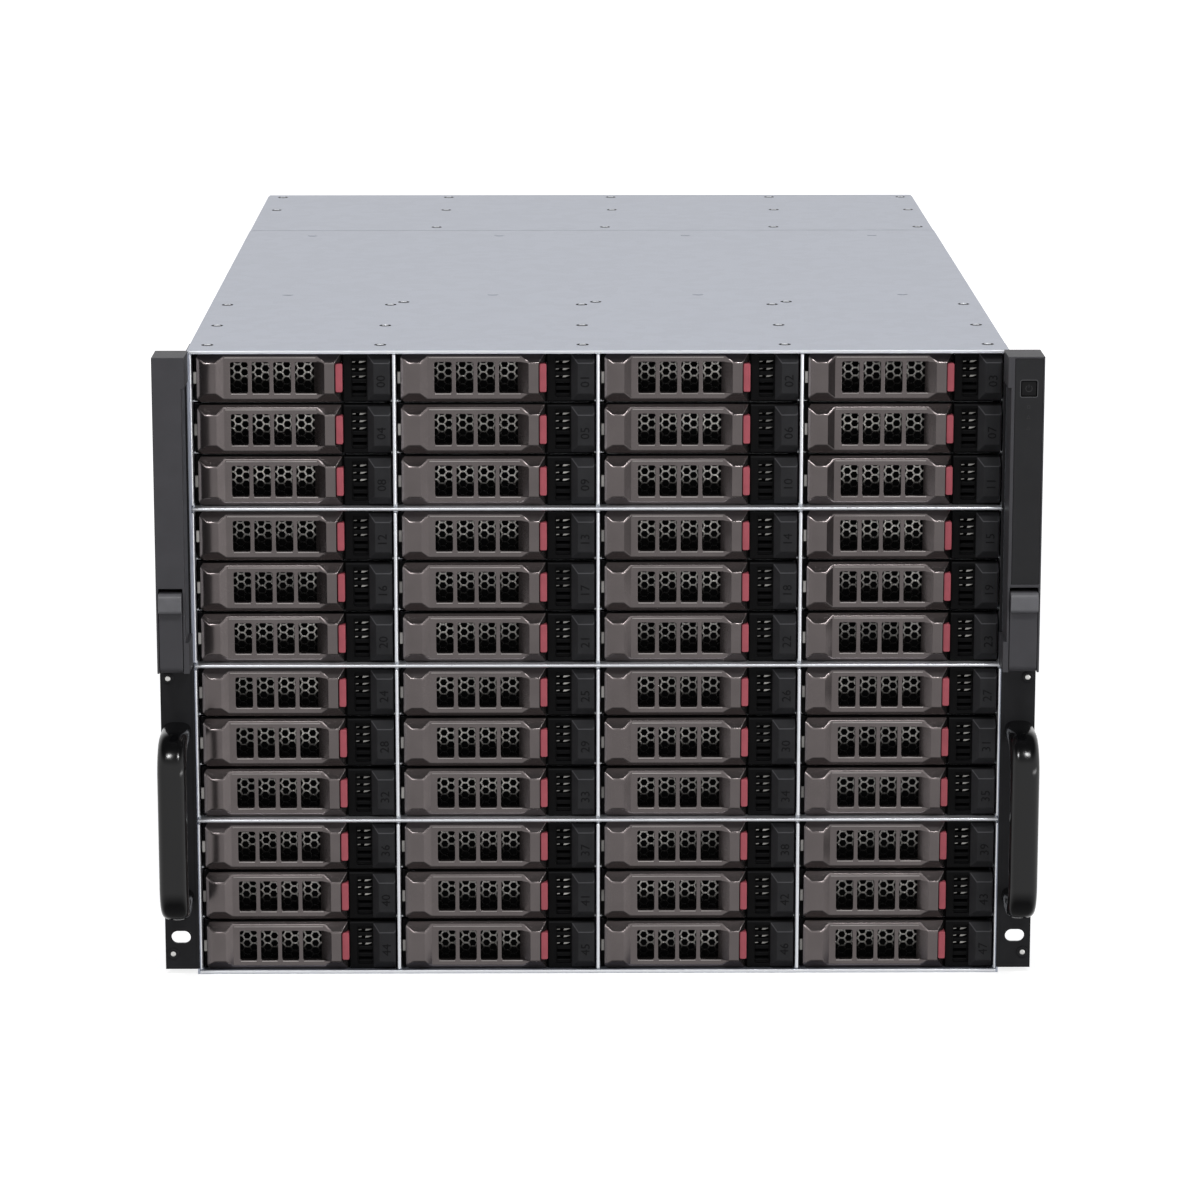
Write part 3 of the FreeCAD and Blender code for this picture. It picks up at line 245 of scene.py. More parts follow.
def carvePrism(obj, points, axis, low, high):
    cutter = bmesh.new()
    prism(cutter, points, axis, low, high)
    return carve(obj, cutter)


# Points nearer than this, in metres, and faces that meet more flatly than this become one.
merge = {"distance": 2e-5, "angle": math.radians(1)}


def ease(obj, width, segments=2, angle=30, weigh=None):
    # Merges flat faces, then rounds the edges; weigh gives an edge's share of the width.
    bm = bmesh.new()
    bm.from_mesh(obj.data)
    bmesh.ops.remove_doubles(bm, verts=bm.verts, dist=merge["distance"])
    bmesh.ops.dissolve_limit(bm, angle_limit=merge["angle"], verts=bm.verts, edges=bm.edges)
    weight = bm.edges.layers.float.new("bevel_weight_edge")
    for edge in bm.edges:
        if len(edge.link_faces) == 2 and edge.calc_face_angle() > math.radians(angle):
            edge[weight] = weigh(edge) if weigh else 1
    bm.to_mesh(obj.data)
    bm.free()
    change = obj.modifiers.new("ease", "BEVEL")
    change.width = width * mm
    change.segments = segments
    change.limit_method = "WEIGHT"
    change.use_clamp_overlap = False
    settle(obj)
    return smooth(obj)


def dressedCopy(node, name, width, segments=2):
    # A merged copy of a CAD piece with eased edges.
    return ease(link(name, nodes[node].data.copy()), width, segments)


def boxOf(node):
    return [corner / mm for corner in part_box(node)]


def moved(master, name, place):
    mesh = master.data.copy()
    mesh.transform(Matrix.Translation(Vector(place) * mm))
    return link(name, mesh)


def bayCorner(column, row):
    level = cage["rows"] - 1 - row
    across = (column - cage["columns"] // 2) * cage["columnPitch"] + cage["leftGap"]
    up = (cage["floor"] + level // cage["rowsInBlock"] * cage["blockStep"]
          + level % cage["rowsInBlock"] * cage["rowPitch"])
    return across, cage["front"], up


liveBays = [(column, 0) for column in range(cage["columns"])]
latchedBays = [(column, row) for row in range(cage["liveRows"], cage["rows"])
               for column in range(cage["columns"])]
bayNames = [f"bay_{column + 1:02d}_" for column in range(cage["columns"])]


# Finishes. All patterns are worked out from object coordinates.

def feed(tree, node, inputs):
    # Puts a value or a link on each named input.
    for name, value in inputs.items():
        if isinstance(value, bpy.types.NodeSocket):
            tree.links.new(value, node.inputs[name])
        else:
            node.inputs[name].default_value = value


def addNode(tree, kind, output, inputs, **settings):
    # A new node, set and fed; gives one of its outputs.
    node = tree.nodes.new(kind)
    for name, value in settings.items():
        setattr(node, name, value)
    feed(tree, node, inputs)
    return node.outputs[output]


def shaderNodes(name):
    material = bpy.data.materials.new(name)
    material.use_nodes = True
    tree = material.node_tree
    return material, tree, tree.nodes["Principled BSDF"]


def coordinates(tree, kind="Object"):
    return addNode(tree, "ShaderNodeTexCoord", kind, {})


def along(tree, axis, kind="Object"):
    return addNode(tree, "ShaderNodeSeparateXYZ", axis, {"Vector": coordinates(tree, kind)})


def noise(tree, size, detail=3.0, stretch=(1, 1, 1)):
    place = addNode(tree, "ShaderNodeMapping", "Vector", {"Vector": coordinates(tree), "Scale": stretch})
    return addNode(tree, "ShaderNodeTexNoise", "Fac",
                   {"Vector": place, "Scale": 1 / (size * mm), "Detail": detail})


def cells(tree, size):
    color = addNode(tree, "ShaderNodeTexVoronoi", "Color",
                    {"Vector": coordinates(tree), "Scale": 1 / (size * mm)})
    return addNode(tree, "ShaderNodeRGBToBW", "Val", {"Color": color})


def ramp(tree, value, stops):
    node = tree.nodes.new("ShaderNodeValToRGB")
    elements = node.color_ramp.elements
    while len(elements) < len(stops):
        elements.new(0.5)
    for element, (place, color) in zip(elements, stops):
        element.position = place
        element.color = (*color, 1)
    tree.links.new(value, node.inputs["Fac"])
    return node.outputs["Color"]


def spread(tree, value, low, high, first=0.3, last=0.7):
    inputs = {"Value": value, "From Min": first, "From Max": last, "To Min": low, "To Max": high}
    return addNode(tree, "ShaderNodeMapRange", "Result", inputs)


def figure(tree, kind, first, second=0.0):
    # One step of arithmetic on values or sockets.
    return addNode(tree, "ShaderNodeMath", "Value", {0: first, 1: second}, operation=kind)


def twoTone(tree, value, dark, light):
    return ramp(tree, value, list(zip(pattern["stops"], (dark, light))))


def shade(color, factor):
    return tuple(min(1.0, part * factor) for part in color)


def scaled(tree, color, factor):
    return addNode(tree, "ShaderNodeVectorMath", "Vector", {0: color, "Scale": factor}, operation="SCALE")


pattern = {"roughLow": 0.85, "roughHigh": 1.15, "bumpShare": 0.2, "rise": (0.12, 0.25),
           "fall": (0.50, 0.64), "recess": (4.9, 5.3), "stops": (0.3, 0.7), "grainDetail": 4.0,
           "edgeSamples": 4}


def upEdges(tree):
    # The mask of a painted highlight: 1 on roundings between a front face and a bevel above it, 0 on both
    # of those.
    up = along(tree, "Z", "Normal")
    rising = spread(tree, up, 0.0, 1.0, *pattern["rise"])
    falling = spread(tree, up, 1.0, 0.0, *pattern["fall"])
    return figure(tree, "MULTIPLY", rising, falling)


def depthOf(tree):
    # Millimetres behind the cage's front edge.
    return figure(tree, "SUBTRACT", figure(tree, "DIVIDE", along(tree, "Y"), mm), cage["front"])


def finishOf(name, look):
    material, tree, shader = shaderNodes(name)
    tint, rough, stretch = look["tint"], look["roughness"], look.get("stretch", (1, 1, 1))
    patch = cells(tree, look["patch"]) if "spangle" in look else noise(tree, look["patch"], stretch=stretch)
    light, dark = shade(look["color"], 1 + tint), shade(look["color"], 1 - tint)
    color = twoTone(tree, patch, dark, light)
    # Painted highlight: the colour is brighter on roundings that face up and forward.
    if "rubbed" in look:
        color = scaled(tree, color, spread(tree, upEdges(tree), 1.0, look["rubbed"], 0.0, 1.0))
    # Painted shade: the colour is darker in recesses, by depth behind the cage's front edge.
    if "sunk" in look:
        color = scaled(tree, color, spread(tree, depthOf(tree), 1.0, look["sunk"], *pattern["recess"]))
    fine = noise(tree, look["grainSize"], pattern["grainDetail"], stretch)
    bump = {"Strength": look["grain"], "Height": fine,
            "Distance": look["grainSize"] * mm * pattern["bumpShare"]}
    if "edge" in look:
        bump["Normal"] = addNode(tree, "ShaderNodeBevel", "Normal", {"Radius": look["edge"] * mm},
                                 samples=pattern["edgeSamples"])
    roughness = spread(tree, fine, rough * pattern["roughLow"], min(1.0, rough * pattern["roughHigh"]))
    feed(tree, shader, {"Base Color": color, "Roughness": roughness, "Metallic": look["metallic"],
                        "Specular IOR Level": look["shine"],
                        "Normal": addNode(tree, "ShaderNodeBump", "Normal", bump)})
    return material


# tint is the colour change over a patch, grain the bump.
lookColumns = ("color", "metallic", "roughness", "shine", "tint", "patch", "grain", "grainSize")
looks = {
    "galvanised": ((0.505, 0.535, 0.62), 0.8, 0.38, 0.5, 0.02, 9, 0.05, 0.9),
    "cageZinc": ((0.92, 0.94, 0.98), 0.8, 0.32, 0.5, 0.02, 6, 0.01, 0.8),
    "hemZinc": ((0.93, 0.95, 1.0), 0.7, 0.34, 0.5, 0.02, 8, 0.01, 0.8),
    "leverPaint": ((0.167, 0.146, 0.145), 0.92, 0.24, 0.5, 0.06, 14, 0.06, 0.28),
    # A lighter copy of the lever paint, for painted highlights along edges.
    "leverEdge": ((0.50, 0.47, 0.455), 0.8, 0.30, 0.5, 0.30, 30, 0.05, 0.28),
    "bezelBlack": ((0.032, 0.032, 0.0345), 0.0, 0.45, 0.07, 0.12, 12, 0.14, 0.25),
    "numberGrey": ((0.012, 0.012, 0.013), 0.0, 0.5, 0.07, 0.1, 4, 0.08, 0.2),
    "releaseRed": ((0.47, 0.100, 0.128), 0.0, 0.42, 0.4, 0.07, 5, 0.08, 0.25),
    "sledSteel": ((0.50, 0.51, 0.53), 0.8, 0.38, 0.5, 0.06, 10, 0.05, 0.6),
    "driveAlloy": ((0.42, 0.43, 0.45), 0.7, 0.48, 0.5, 0.08, 16, 0.10, 0.7),
    "boardGreen": ((0.018, 0.10, 0.055), 0.0, 0.42, 0.5, 0.15, 7, 0.06, 0.5),
    "socketBlack": ((0.01, 0.01, 0.0105), 0.0, 0.5, 0.3, 0.12, 6, 0.08, 0.3),
    "fanBlack": ((0.018, 0.018, 0.020), 0.0, 0.46, 0.35, 0.12, 12, 0.08, 0.4),
    "heatsinkAlloy": ((0.62, 0.63, 0.65), 0.9, 0.34, 0.5, 0.05, 8, 0.05, 0.5),
    "portShell": ((0.55, 0.56, 0.57), 0.9, 0.27, 0.5, 0.05, 5, 0.04, 0.4),
    "supplySteel": ((0.42, 0.435, 0.46), 0.75, 0.38, 0.5, 0.04, 8, 0.05, 0.6),
    "earPaint": ((0.019, 0.019, 0.021), 0.0, 0.45, 0.15, 0.12, 10, 0.20, 0.35),
    "coverCharcoal": ((0.066, 0.065, 0.072), 0.0, 0.48, 0.25, 0.06, 12, 0.18, 0.3),
    "gripCharcoal": ((0.14, 0.14, 0.152), 0.0, 0.40, 0.5, 0.07, 5, 0.30, 0.35),
    "handleBlack": ((0.003, 0.003, 0.0035), 0.0, 0.17, 0.5, 0.10, 20, 0.01, 1.2),
    "insertBlack": ((0.028, 0.028, 0.030), 0.0, 0.42, 0.14, 0.06, 15, 0.04, 0.3),
    "keyGrey": ((0.006, 0.006, 0.0066), 0.0, 0.42, 0.18, 0.08, 4, 0.06, 0.2),
    "bladeGlint": ((0.40, 0.39, 0.37), 0.6, 0.34, 0.5, 0.65, 34, 0.04, 0.2),
    "brightTrim": ((0.88, 0.87, 0.85), 0.9, 0.28, 0.5, 0.05, 2, 0.04, 0.2),
    "frameGrey": ((0.06, 0.06, 0.064), 0.0, 0.35, 0.5, 0.06, 2, 0.04, 0.2),
    "markGrey": ((0.035, 0.035, 0.037), 0.0, 0.5, 0.3, 0.06, 2, 0.04, 0.2),
    "springSteel": ((0.30, 0.29, 0.28), 0.9, 0.30, 0.5, 0.5, 40, 0.04, 0.3),
    "screwSteel": ((0.72, 0.74, 0.78), 0.85, 0.30, 0.5, 0.06, 2, 0.05, 0.3),
    "goldContact": ((0.72, 0.50, 0.18), 1.0, 0.25, 0.5, 0.05, 2, 0.03, 0.3),
    "ventShadow": ((0.0016, 0.0016, 0.0017), 0.0, 0.7, 0.02, 0.1, 3, 0.05, 0.3),
}
# What only some looks have: edge is a rounded highlight on CAD edges; two keys paint light into the colour:
# the painted highlight brightens edges facing up and forward, and sunk is painted shade that darkens
# recesses.
lookExtras = {
    "edge": {"galvanised": 0.5, "sledSteel": 0.4, "driveAlloy": 0.8, "fanBlack": 0.5, "heatsinkAlloy": 0.3,
             "portShell": 0.3, "supplySteel": 0.4, "earPaint": 0.4},
    "spangle": {"galvanised": True, "supplySteel": True}, "stretch": {"heatsinkAlloy": (1, 0.1, 1)},
    "rubbed": {"leverPaint": 1.3, "bezelBlack": 2.6}, "sunk": {"bezelBlack": 0.16},
}
finish = {}
for name, row in looks.items():
    extras = {key: users[name] for key, users in lookExtras.items() if name in users}
    finish[name] = finishOf(name, {**dict(zip(lookColumns, row)), **extras})

# Colours over a row's height, from the bay's floor up: painted shade low down, painted light under the
# lever's top edge.
wires = {"stops": [(0.30, (0.004, 0.004, 0.004)), (0.40, (0.02, 0.019, 0.018)),
                   (0.47, (0.36, 0.35, 0.33)), (0.63, (0.82, 0.80, 0.76))],
         "patch": 75, "dull": 0.50, "bright": 1.2, "metallic": 0.9, "grainSize": 1.2,
         "roughness": (0.24, 0.34)}


def makeShadedScreenFinish():
    # Painted light and shade: the wires are coloured bright under the lever's top edge and dark towards the
    # bay's floor, and differ at random from bay to bay.
    material, tree, shader = shaderNodes("screenSteel")
    level = figure(tree, "SUBTRACT", along(tree, "Z"), cage["floor"] * mm)
    for step in (cage["blockStep"], cage["rowPitch"]):
        level = figure(tree, "MODULO", level, step * mm)
    level = figure(tree, "DIVIDE", level, cage["rowPitch"] * mm)
    patches = spread(tree, noise(tree, wires["patch"], 1.0), wires["dull"], wires["bright"])
    feed(tree, shader, {"Base Color": scaled(tree, ramp(tree, level, wires["stops"]), patches),
                        "Roughness": spread(tree, noise(tree, wires["grainSize"]), *wires["roughness"]),
                        "Metallic": wires["metallic"]})
    return material


finish["screenSteel"] = makeShadedScreenFinish()
print("finishes made:", len(finish))


# Repeated shapes.

def startGroup(name, sockets):
    # A node group with these inputs; gives their identifiers and the sockets inside too.
    tree = bpy.data.node_groups.new(name, "GeometryNodeTree")
    ids = {}
    for label, kind in sockets.items():
        socket = tree.interface.new_socket(label, in_out="INPUT", socket_type=f"NodeSocket{kind}")
        ids[label] = socket.identifier
    tree.interface.new_socket("Geometry", in_out="OUTPUT", socket_type="NodeSocketGeometry")
    return tree, ids, tree.nodes.new("NodeGroupInput").outputs


def endGroup(tree, points, shape, material):
    # One shape on every point, made real and given its finish.
    inputs = {"Points": points, "Instance": shape}
    placed = addNode(tree, "GeometryNodeInstanceOnPoints", "Instances", inputs)
    real = addNode(tree, "GeometryNodeRealizeInstances", "Geometry", {"Geometry": placed})
    done = addNode(tree, "GeometryNodeSetMaterial", "Geometry", {"Geometry": real, "Material": material})
    feed(tree, tree.nodes.new("NodeGroupOutput"), {"Geometry": done})


def makeRepeatTree():
    sockets = {"Points": "Geometry", "Shape": "Object", "Finish": "Material"}
    tree, ids, start = startGroup("repeatOnPoints", sockets)
    shape = addNode(tree, "GeometryNodeObjectInfo", "Geometry", {"Object": start["Shape"]})
    endGroup(tree, start["Points"], shape, start["Finish"])
    return tree, ids


repeatNodes, repeatInputs = makeRepeatTree()


def repeated(name, shape, points, material):
    mesh = bpy.data.meshes.new(name)
    mesh.from_pydata([Vector(point) * mm for point in points], [], [])
    obj = link(name, mesh)
    change = obj.modifiers.new("repeat", "NODES")
    change.node_group = repeatNodes
    change[repeatInputs["Shape"]] = shape
    change[repeatInputs["Finish"]] = material
    return settle(obj)


def addRepeats(name, shape, points, material, slot, body="chassis", replaced=()):
    belongs(repeated(name, smooth(shape), points, finish[material]), body, slot, *replaced)
    drop(shape)


def makeScreenTree():
    # Flat-topped six-sided cells, every second column half a cell lower.
    sockets = {"Columns": "Int", "Rows": "Int", "Cell": "Float", "Wire": "Float", "Depth": "Float",
               "Finish": "Material"}
    tree, ids, start = startGroup("sixSidedScreen", sockets)
    cell, wire, columns, rows = (start[label] for label in ("Cell", "Wire", "Columns", "Rows"))

    def times(first, second):
        return figure(tree, "MULTIPLY", first, second)

    columnPitch, rowPitch = times(cell, 0.75), times(cell, math.sqrt(3) / 2)
    grid = addNode(tree, "GeometryNodeMeshGrid", "Mesh", {
        "Size X": times(columnPitch, figure(tree, "SUBTRACT", columns, 1)),
        "Size Y": times(rowPitch, figure(tree, "SUBTRACT", rows, 1)),
        "Vertices X": columns, "Vertices Y": rows})
    index = addNode(tree, "GeometryNodeInputIndex", "Index", {})
    column = figure(tree, "FLOOR", figure(tree, "DIVIDE", index, rows))
    lower = times(times(figure(tree, "MODULO", column, 2), rowPitch), -0.5)
    offset = addNode(tree, "ShaderNodeCombineXYZ", "Vector", {"Y": lower})
    points = addNode(tree, "GeometryNodeSetPosition", "Geometry", {"Geometry": grid, "Offset": offset})
    # Half the wire's width, measured towards a corner of the cell.
    cornerShare = 0.2887
    radius = figure(tree, "SUBTRACT", times(cell, 0.5), times(wire, cornerShare))
    ring = addNode(tree, "GeometryNodeMeshCircle", "Mesh", {"Vertices": 6, "Radius": radius})
    path = addNode(tree, "GeometryNodeMeshToCurve", "Curve", {"Mesh": ring})
    section = addNode(tree, "GeometryNodeCurvePrimitiveQuadrilateral", "Curve",
                      {"Width": times(wire, 0.5), "Height": start["Depth"]})
    rim = addNode(tree, "GeometryNodeCurveToMesh", "Mesh", {"Curve": path, "Profile Curve": section})
    endGroup(tree, points, rim, start["Finish"])
    return tree, ids


# Carrier fronts. They are drawn from the carrier's left side, the cage's front edge and the runner.

carrier = {"low": 0.3, "high": 27.5, "front": 0.8, "bevel": 5.2,
           "plateFront": 9.7, "plateBack": 11.7, "plateEnd": 81.4}
carrier["middle"] = (carrier["low"] + carrier["high"]) / 2


def frontShape(name, plan):
    # The plan over the carrier's height, bevelled along the top and the bottom.
    bm = bmesh.new()
    prism(bm, plan, "z", carrier["low"], carrier["high"])
    front, bevel = carrier["front"], carrier["bevel"]
    sliceOff(bm, (0, front, carrier["high"] - bevel), (0, -1, 1))
    sliceOff(bm, (0, front, carrier["low"] + bevel), (0, -1, -1))
    return made(name, bm)


lever = {"plan": [(1.7, 3.8), (5.8, 0.8), (12.3, 0.8), (16.2, 4.3), (67.0, 4.3), (71.3, 0.8),
                  (76.7, 0.8), (80.2, 6.0), (80.2, 8.8)],
         "pin": (5.9, 6.4), "knuckle": 2.4, "bore": 1.25,
         "firstWindow": 19.9, "windowWidth": 9.5, "windowPitch": 11.75, "windows": 4,
         "windowLow": 5.4, "windowHigh": 22.4, "windowCorner": 1.1,
         "rampCut": [(60.0, -2.0), (71.4, -2.0), (71.4, 0.7), (65.3, 7.2), (65.3, 12.0), (60.0, 12.0)],
         "mouth": ((76.8, 5.8), (88.8, 22.0)), "mouthCorner": 0.9, "through": (-2, 12), "margin": 0.1,
         "notchStart": -2, "notchEnd": 9.3, "notchDepth": 4.0, "notchInset": 3.1, "notchHeight": 5.0,
         "edge": 0.75, "slight": 0.35, "boldEnd": 76.75, "pinSides": 14}


# How much of a face's normal lies along an axis where the face is tilted, slopes or faces that way.
lean = {"tilted": 0.1, "slopes": 0.4, "faces": 0.5}


def isUprightFront(normal):
    return abs(normal.z) < lean["tilted"] and normal.y < -lean["faces"]


def isBevelEdge(edge):
    # An edge between a slanted top or bottom bevel and an upright front face.
    first, second = sorted((face.normal for face in edge.link_faces), key=lambda normal: abs(normal.z))
    return isUprightFront(first) and abs(second.z) > lean["faces"] and second.y < -lean["faces"]


def isNearHinge(place):
    margin = lever["margin"]
    behindSkin = place.y > lever["notchDepth"] - margin and place.x < lever["notchEnd"] + margin
    return behindSkin or place.x < lever["plan"][0][0] + margin


def leverShare(edge):
    # Bold along the bevels up to the release button's mouth, none about the hinge, in hollows
    # and on slopes.
    if all(isNearHinge(vertex.co / mm) for vertex in edge.verts):
        return 0
    if isBevelEdge(edge) and max(vertex.co.x for vertex in edge.verts) < lever["boldEnd"] * mm:
        return 1
    normals = [face.normal for face in edge.link_faces]
    onSlope = any(max(normal.x, normal.y) < -lean["slopes"] for normal in normals)
    onFront = all(isUprightFront(normal) for normal in normals)
    return 0 if onFront or onSlope or not edge.is_convex else lever["slight"]


def bezelShare(edge):
    return 1 if isBevelEdge(edge) else bezel["slight"]


def windowSides():
    starts = [lever["firstWindow"] + index * lever["windowPitch"] for index in range(lever["windows"])]
    return [(left, left + lever["windowWidth"]) for left in starts]


def makeLever(hinged):
    obj = frontShape("leverShape", lever["plan"] + arc(lever["pin"], lever["knuckle"], 90, 180, 4))
    low, high = lever["windowLow"], lever["windowHigh"]
    cutter = bmesh.new()
    for left, right in windowSides():
        window = roundedRect((left, low), (right, high), lever["windowCorner"])
        prism(cutter, window, "y", *lever["through"])
    prism(cutter, roundedRect(*lever["mouth"], lever["mouthCorner"]), "y", *lever["through"])
    carve(obj, cutter)
    # The last window runs on into the slope beside it.
    carvePrism(obj, lever["rampCut"], "z", low, high)
    if hinged:
        inset, height = lever["notchInset"], lever["notchHeight"]
        cutter = bmesh.new()
        for foot in (carrier["low"] + inset, carrier["high"] - inset - height):
            block(cutter, (lever["notchStart"], lever["notchDepth"], foot),
                  (lever["notchEnd"], lever["through"][1], foot + height))
        carve(obj, cutter)
        cutter = bmesh.new()
        bore = [(lever["bore"], carrier["low"] + inset), (lever["bore"], carrier["high"] - inset)]
        ringed(cutter, (*lever["pin"], 0), "z", bore, lever["pinSides"])
        carve(obj, cutter)
    ease(obj, lever["edge"], 4, weigh=leverShare)
    return paint(obj, "leverPaint")


sill = {"inset": 0.4, "low": 4.7, "high": 5.05, "front": 4.26, "back": 4.5, "run": 2.6,
        "line": ((16.9, 24.72), (66.4, 25.08))}


def makeHighlightStrips():
    # Painted highlights: bright strips for the lit lips under the windows, the last one running on to
    # the slope, and for the lit line along the panel's top.
    strips = [[(left + sill["inset"], sill["low"]), (right - sill["inset"], sill["high"])]
              for left, right in windowSides()]
    right, high = strips[-1][1]
    strips[-1][1] = (right + sill["run"], high)
    boxes = [((left, sill["front"], low), (right, sill["back"], high))
             for (left, low), (right, high) in strips + [sill["line"]]]
    return paint(blocks("sillShape", *boxes), "leverEdge")


release = {"left": 77.1, "right": 81.0, "low": 6.1, "high": 21.7, "front": 2.3, "back": 10.9,
           "corner": 0.9, "edge": 0.45}


def makeRelease():
    low, high = (release["left"], release["low"]), (release["right"], release["high"])
    outline = roundedRect(low, high, release["corner"], 4)
    obj = extruded("releaseShape", outline, "y", release["front"], release["back"])
    return paint(ease(obj, release["edge"], 3), "releaseRed")


bezel = {"plan": [(81.4, 11.7), (81.4, 5.4), (94.2, 5.4), (98.0, 0.8), (106.2, 0.8), (107.1, 1.7),
                  (107.1, 11.7)],
         "recess": ((85.5, 2.9), (94.2, 24.9)), "recessFloor": 8.0, "recessCorner": 0.8,
         "slots": 5, "slotPitch": 4.0, "slotHeight": 1.9, "slotMargin": 0.5,
         "slant": ((7, -0.9), (13, 1.5)), "guide": ((76.8, 5.8), (81.3, 22.0)), "guideCorner": 0.6,
         "guideDepths": (5, 15),
         "earGap": 0.3, "noseRadius": 2.1, "pinRadius": 1.2, "edge": 0.55, "slight": 0.45}


def addHinge(bm):
    # Two ears with round noses and the pin between them.
    x, y = lever["pin"]
    radius = bezel["noseRadius"]
    nose = [(x - radius, carrier["plateFront"]), *arc((x, y), radius, 180, 360, 6),
            (x + radius, carrier["plateFront"])]
    start = lever["notchInset"] + bezel["earGap"]
    end = lever["notchInset"] + lever["notchHeight"] - bezel["earGap"]
    prism(bm, nose, "z", carrier["low"] + start, carrier["low"] + end)
    prism(bm, nose, "z", carrier["high"] - end, carrier["high"] - start)
    pin = [(bezel["pinRadius"], carrier["low"] + end), (bezel["pinRadius"], carrier["high"] - end)]
    ringed(bm, (x, y, 0), "z", pin, lever["pinSides"])


def makeBezel(hinged):
    obj = frontShape("bezelShape", bezel["plan"])
    low, high = bezel["recess"]
    carvePrism(obj, roundedRect(low, high, bezel["recessCorner"]), "y", 0, bezel["recessFloor"])
    half, margin = bezel["slotHeight"] / 2, bezel["slotMargin"]
    # Louvres slant down to the front.
    (front, fall), (back, rise) = bezel["slant"]
    cutter = bmesh.new()
    for index in range(bezel["slots"]):
        level = carrier["middle"] + (index - bezel["slots"] // 2) * bezel["slotPitch"]
        slot = [(front, level + fall - half), (front, level + fall + half),
                (back, level + rise + half), (back, level + rise - half)]
        prism(cutter, slot, "x", low[0] + margin, high[0] - margin)
    carve(obj, cutter)
    ease(obj, bezel["edge"], 2, weigh=bezelShare)
    plate = blocks("plateShape", ((0, carrier["plateFront"], carrier["low"]),
                                  (carrier["plateEnd"], carrier["plateBack"], carrier["high"])))
    if hinged:
        carvePrism(plate, roundedRect(*bezel["guide"], bezel["guideCorner"]), "y", *bezel["guideDepths"])
    bm = reopened(obj, plate)
    if hinged:
        addHinge(bm)
    drop(plate)
    return paint(smooth(renewed(obj, bm)), "bezelBlack")


glint = {"stroke": [(86.1, -0.35), (87.7, -0.15), (87.7, 0.2), (86.1, 0.1)],
         "wedge": [(89.7, -0.625), (91.3, -0.525), (93.6, 0.375), (93.6, 0.625), (90.2, 0.475)],
         "depths": (8.3, 8.7), "rows": 3, "lift": 0.1}


def makeGlints():
    # Painted glints in the upper louvres: bright pieces for light on the blade edges, each a short stroke
    # and a wedge.
    bm = bmesh.new()
    for index in range(glint["rows"]):
        level = carrier["middle"] + index * bezel["slotPitch"] + glint["lift"]
        for outline in (glint["wedge"], glint["stroke"]):
            prism(bm, [(x, level + z) for x, z in outline], "y", *glint["depths"])
    return paint(made("glintShape", bm), "bladeGlint")


screen = {"columns": 14, "rows": 6, "cell": 5.1, "wire": 0.84, "depth": 0.5,
          "centre": (40.86, 9.4, 16.19), "low": (16.4, 3.6), "high": (66.8, 24.2)}


def makeScreen():
    tree, ids = makeScreenTree()
    obj = link("screenShape", bpy.data.meshes.new("screenShape"))
    change = obj.modifiers.new("cells", "NODES")
    change.node_group = tree
    for label in ("Columns", "Rows"):
        change[ids[label]] = screen[label.lower()]
    for label in ("Cell", "Wire", "Depth"):
        change[ids[label]] = screen[label.lower()] * mm
    change[ids["Finish"]] = finish["screenSteel"]
    settle(obj)
    turn = Matrix.Translation(Vector(screen["centre"]) * mm) @ Matrix.Rotation(math.radians(90), 4, "X")
    obj.data.transform(turn)
    bm = bmesh.new()
    bm.from_mesh(obj.data)
    (left, low), (right, high) = screen["low"], screen["high"]
    for point, normal in (((left, 0, 0), (-1, 0, 0)), ((right, 0, 0), (1, 0, 0)),
                          ((0, 0, low), (0, 0, -1)), ((0, 0, high), (0, 0, 1))):
        geometry = bm.verts[:] + bm.edges[:] + bm.faces[:]
        bmesh.ops.bisect_plane(bm, geom=geometry, plane_co=Vector(point) * mm, plane_no=normal,
                               clear_outer=True)
    bmesh.ops.holes_fill(bm, edges=bm.edges, sides=8)
    bm.to_mesh(obj.data)
    bm.free()
    return paint(obj, "screenSteel")


spring = {"bow": [(-0.3, 9.7), (-0.3, 5.3), (-0.05, 4.8), (1.5, 5.0), (1.5, 5.25), (0.1, 5.05),
                  (-0.05, 5.4), (-0.05, 9.7)],
          "low": 10.7, "high": 17.0}


def makeSpring():
    # A bent contact strip beside the lever's left end, on the bezel plate.
    return paint(extruded("springShape", spring["bow"], "z", spring["low"], spring["high"]), "springSteel")


backing = {"low": (16.5, 9.56, 3.7), "high": (66.7, 9.68, 24.1)}


def makeShadeSheet():
    # Painted shade: a dark sheet behind the screen for the shadow in the air channel.
    return paint(blocks("backingShape", (backing["low"], backing["high"])), "ventShadow")


number = {"size": 7.0, "centre": (102.2, 0.72, 12.4), "relief": 0.08}


def makeNumber(text, bay):
    curve = bpy.data.curves.new("bayNumber", "FONT")
    curve.body = text
    curve.size = number["size"] * mm
    curve.align_x = "CENTER"
    curve.align_y = "CENTER"
    curve.extrude = number["relief"] * mm
    curve.resolution_u = 2
    letters = link("bayNumber", curve)
    graph = bpy.context.evaluated_depsgraph_get()
    mesh = bpy.data.meshes.new_from_object(letters.evaluated_get(graph))
    bpy.data.objects.remove(letters)
    bpy.data.curves.remove(curve)
    # The number reads upwards and faces the front.
    turn = Matrix(((0, -1, 0, 0), (0, 0, -1, 0), (1, 0, 0, 0), (0, 0, 0, 1)))
    place = Vector(number["centre"]) + Vector(bayCorner(*bay))
    mesh.transform(Matrix.Translation(place * mm) @ turn)
    return mesh


def joined(name, meshes, material):
    bm = bmesh.new()
    for mesh in meshes:
        bm.from_mesh(mesh)
        bpy.data.meshes.remove(mesh)
    mesh = bpy.data.meshes.new(name)
    bm.to_mesh(mesh)
    bm.free()
    return paint(link(name, mesh), material)


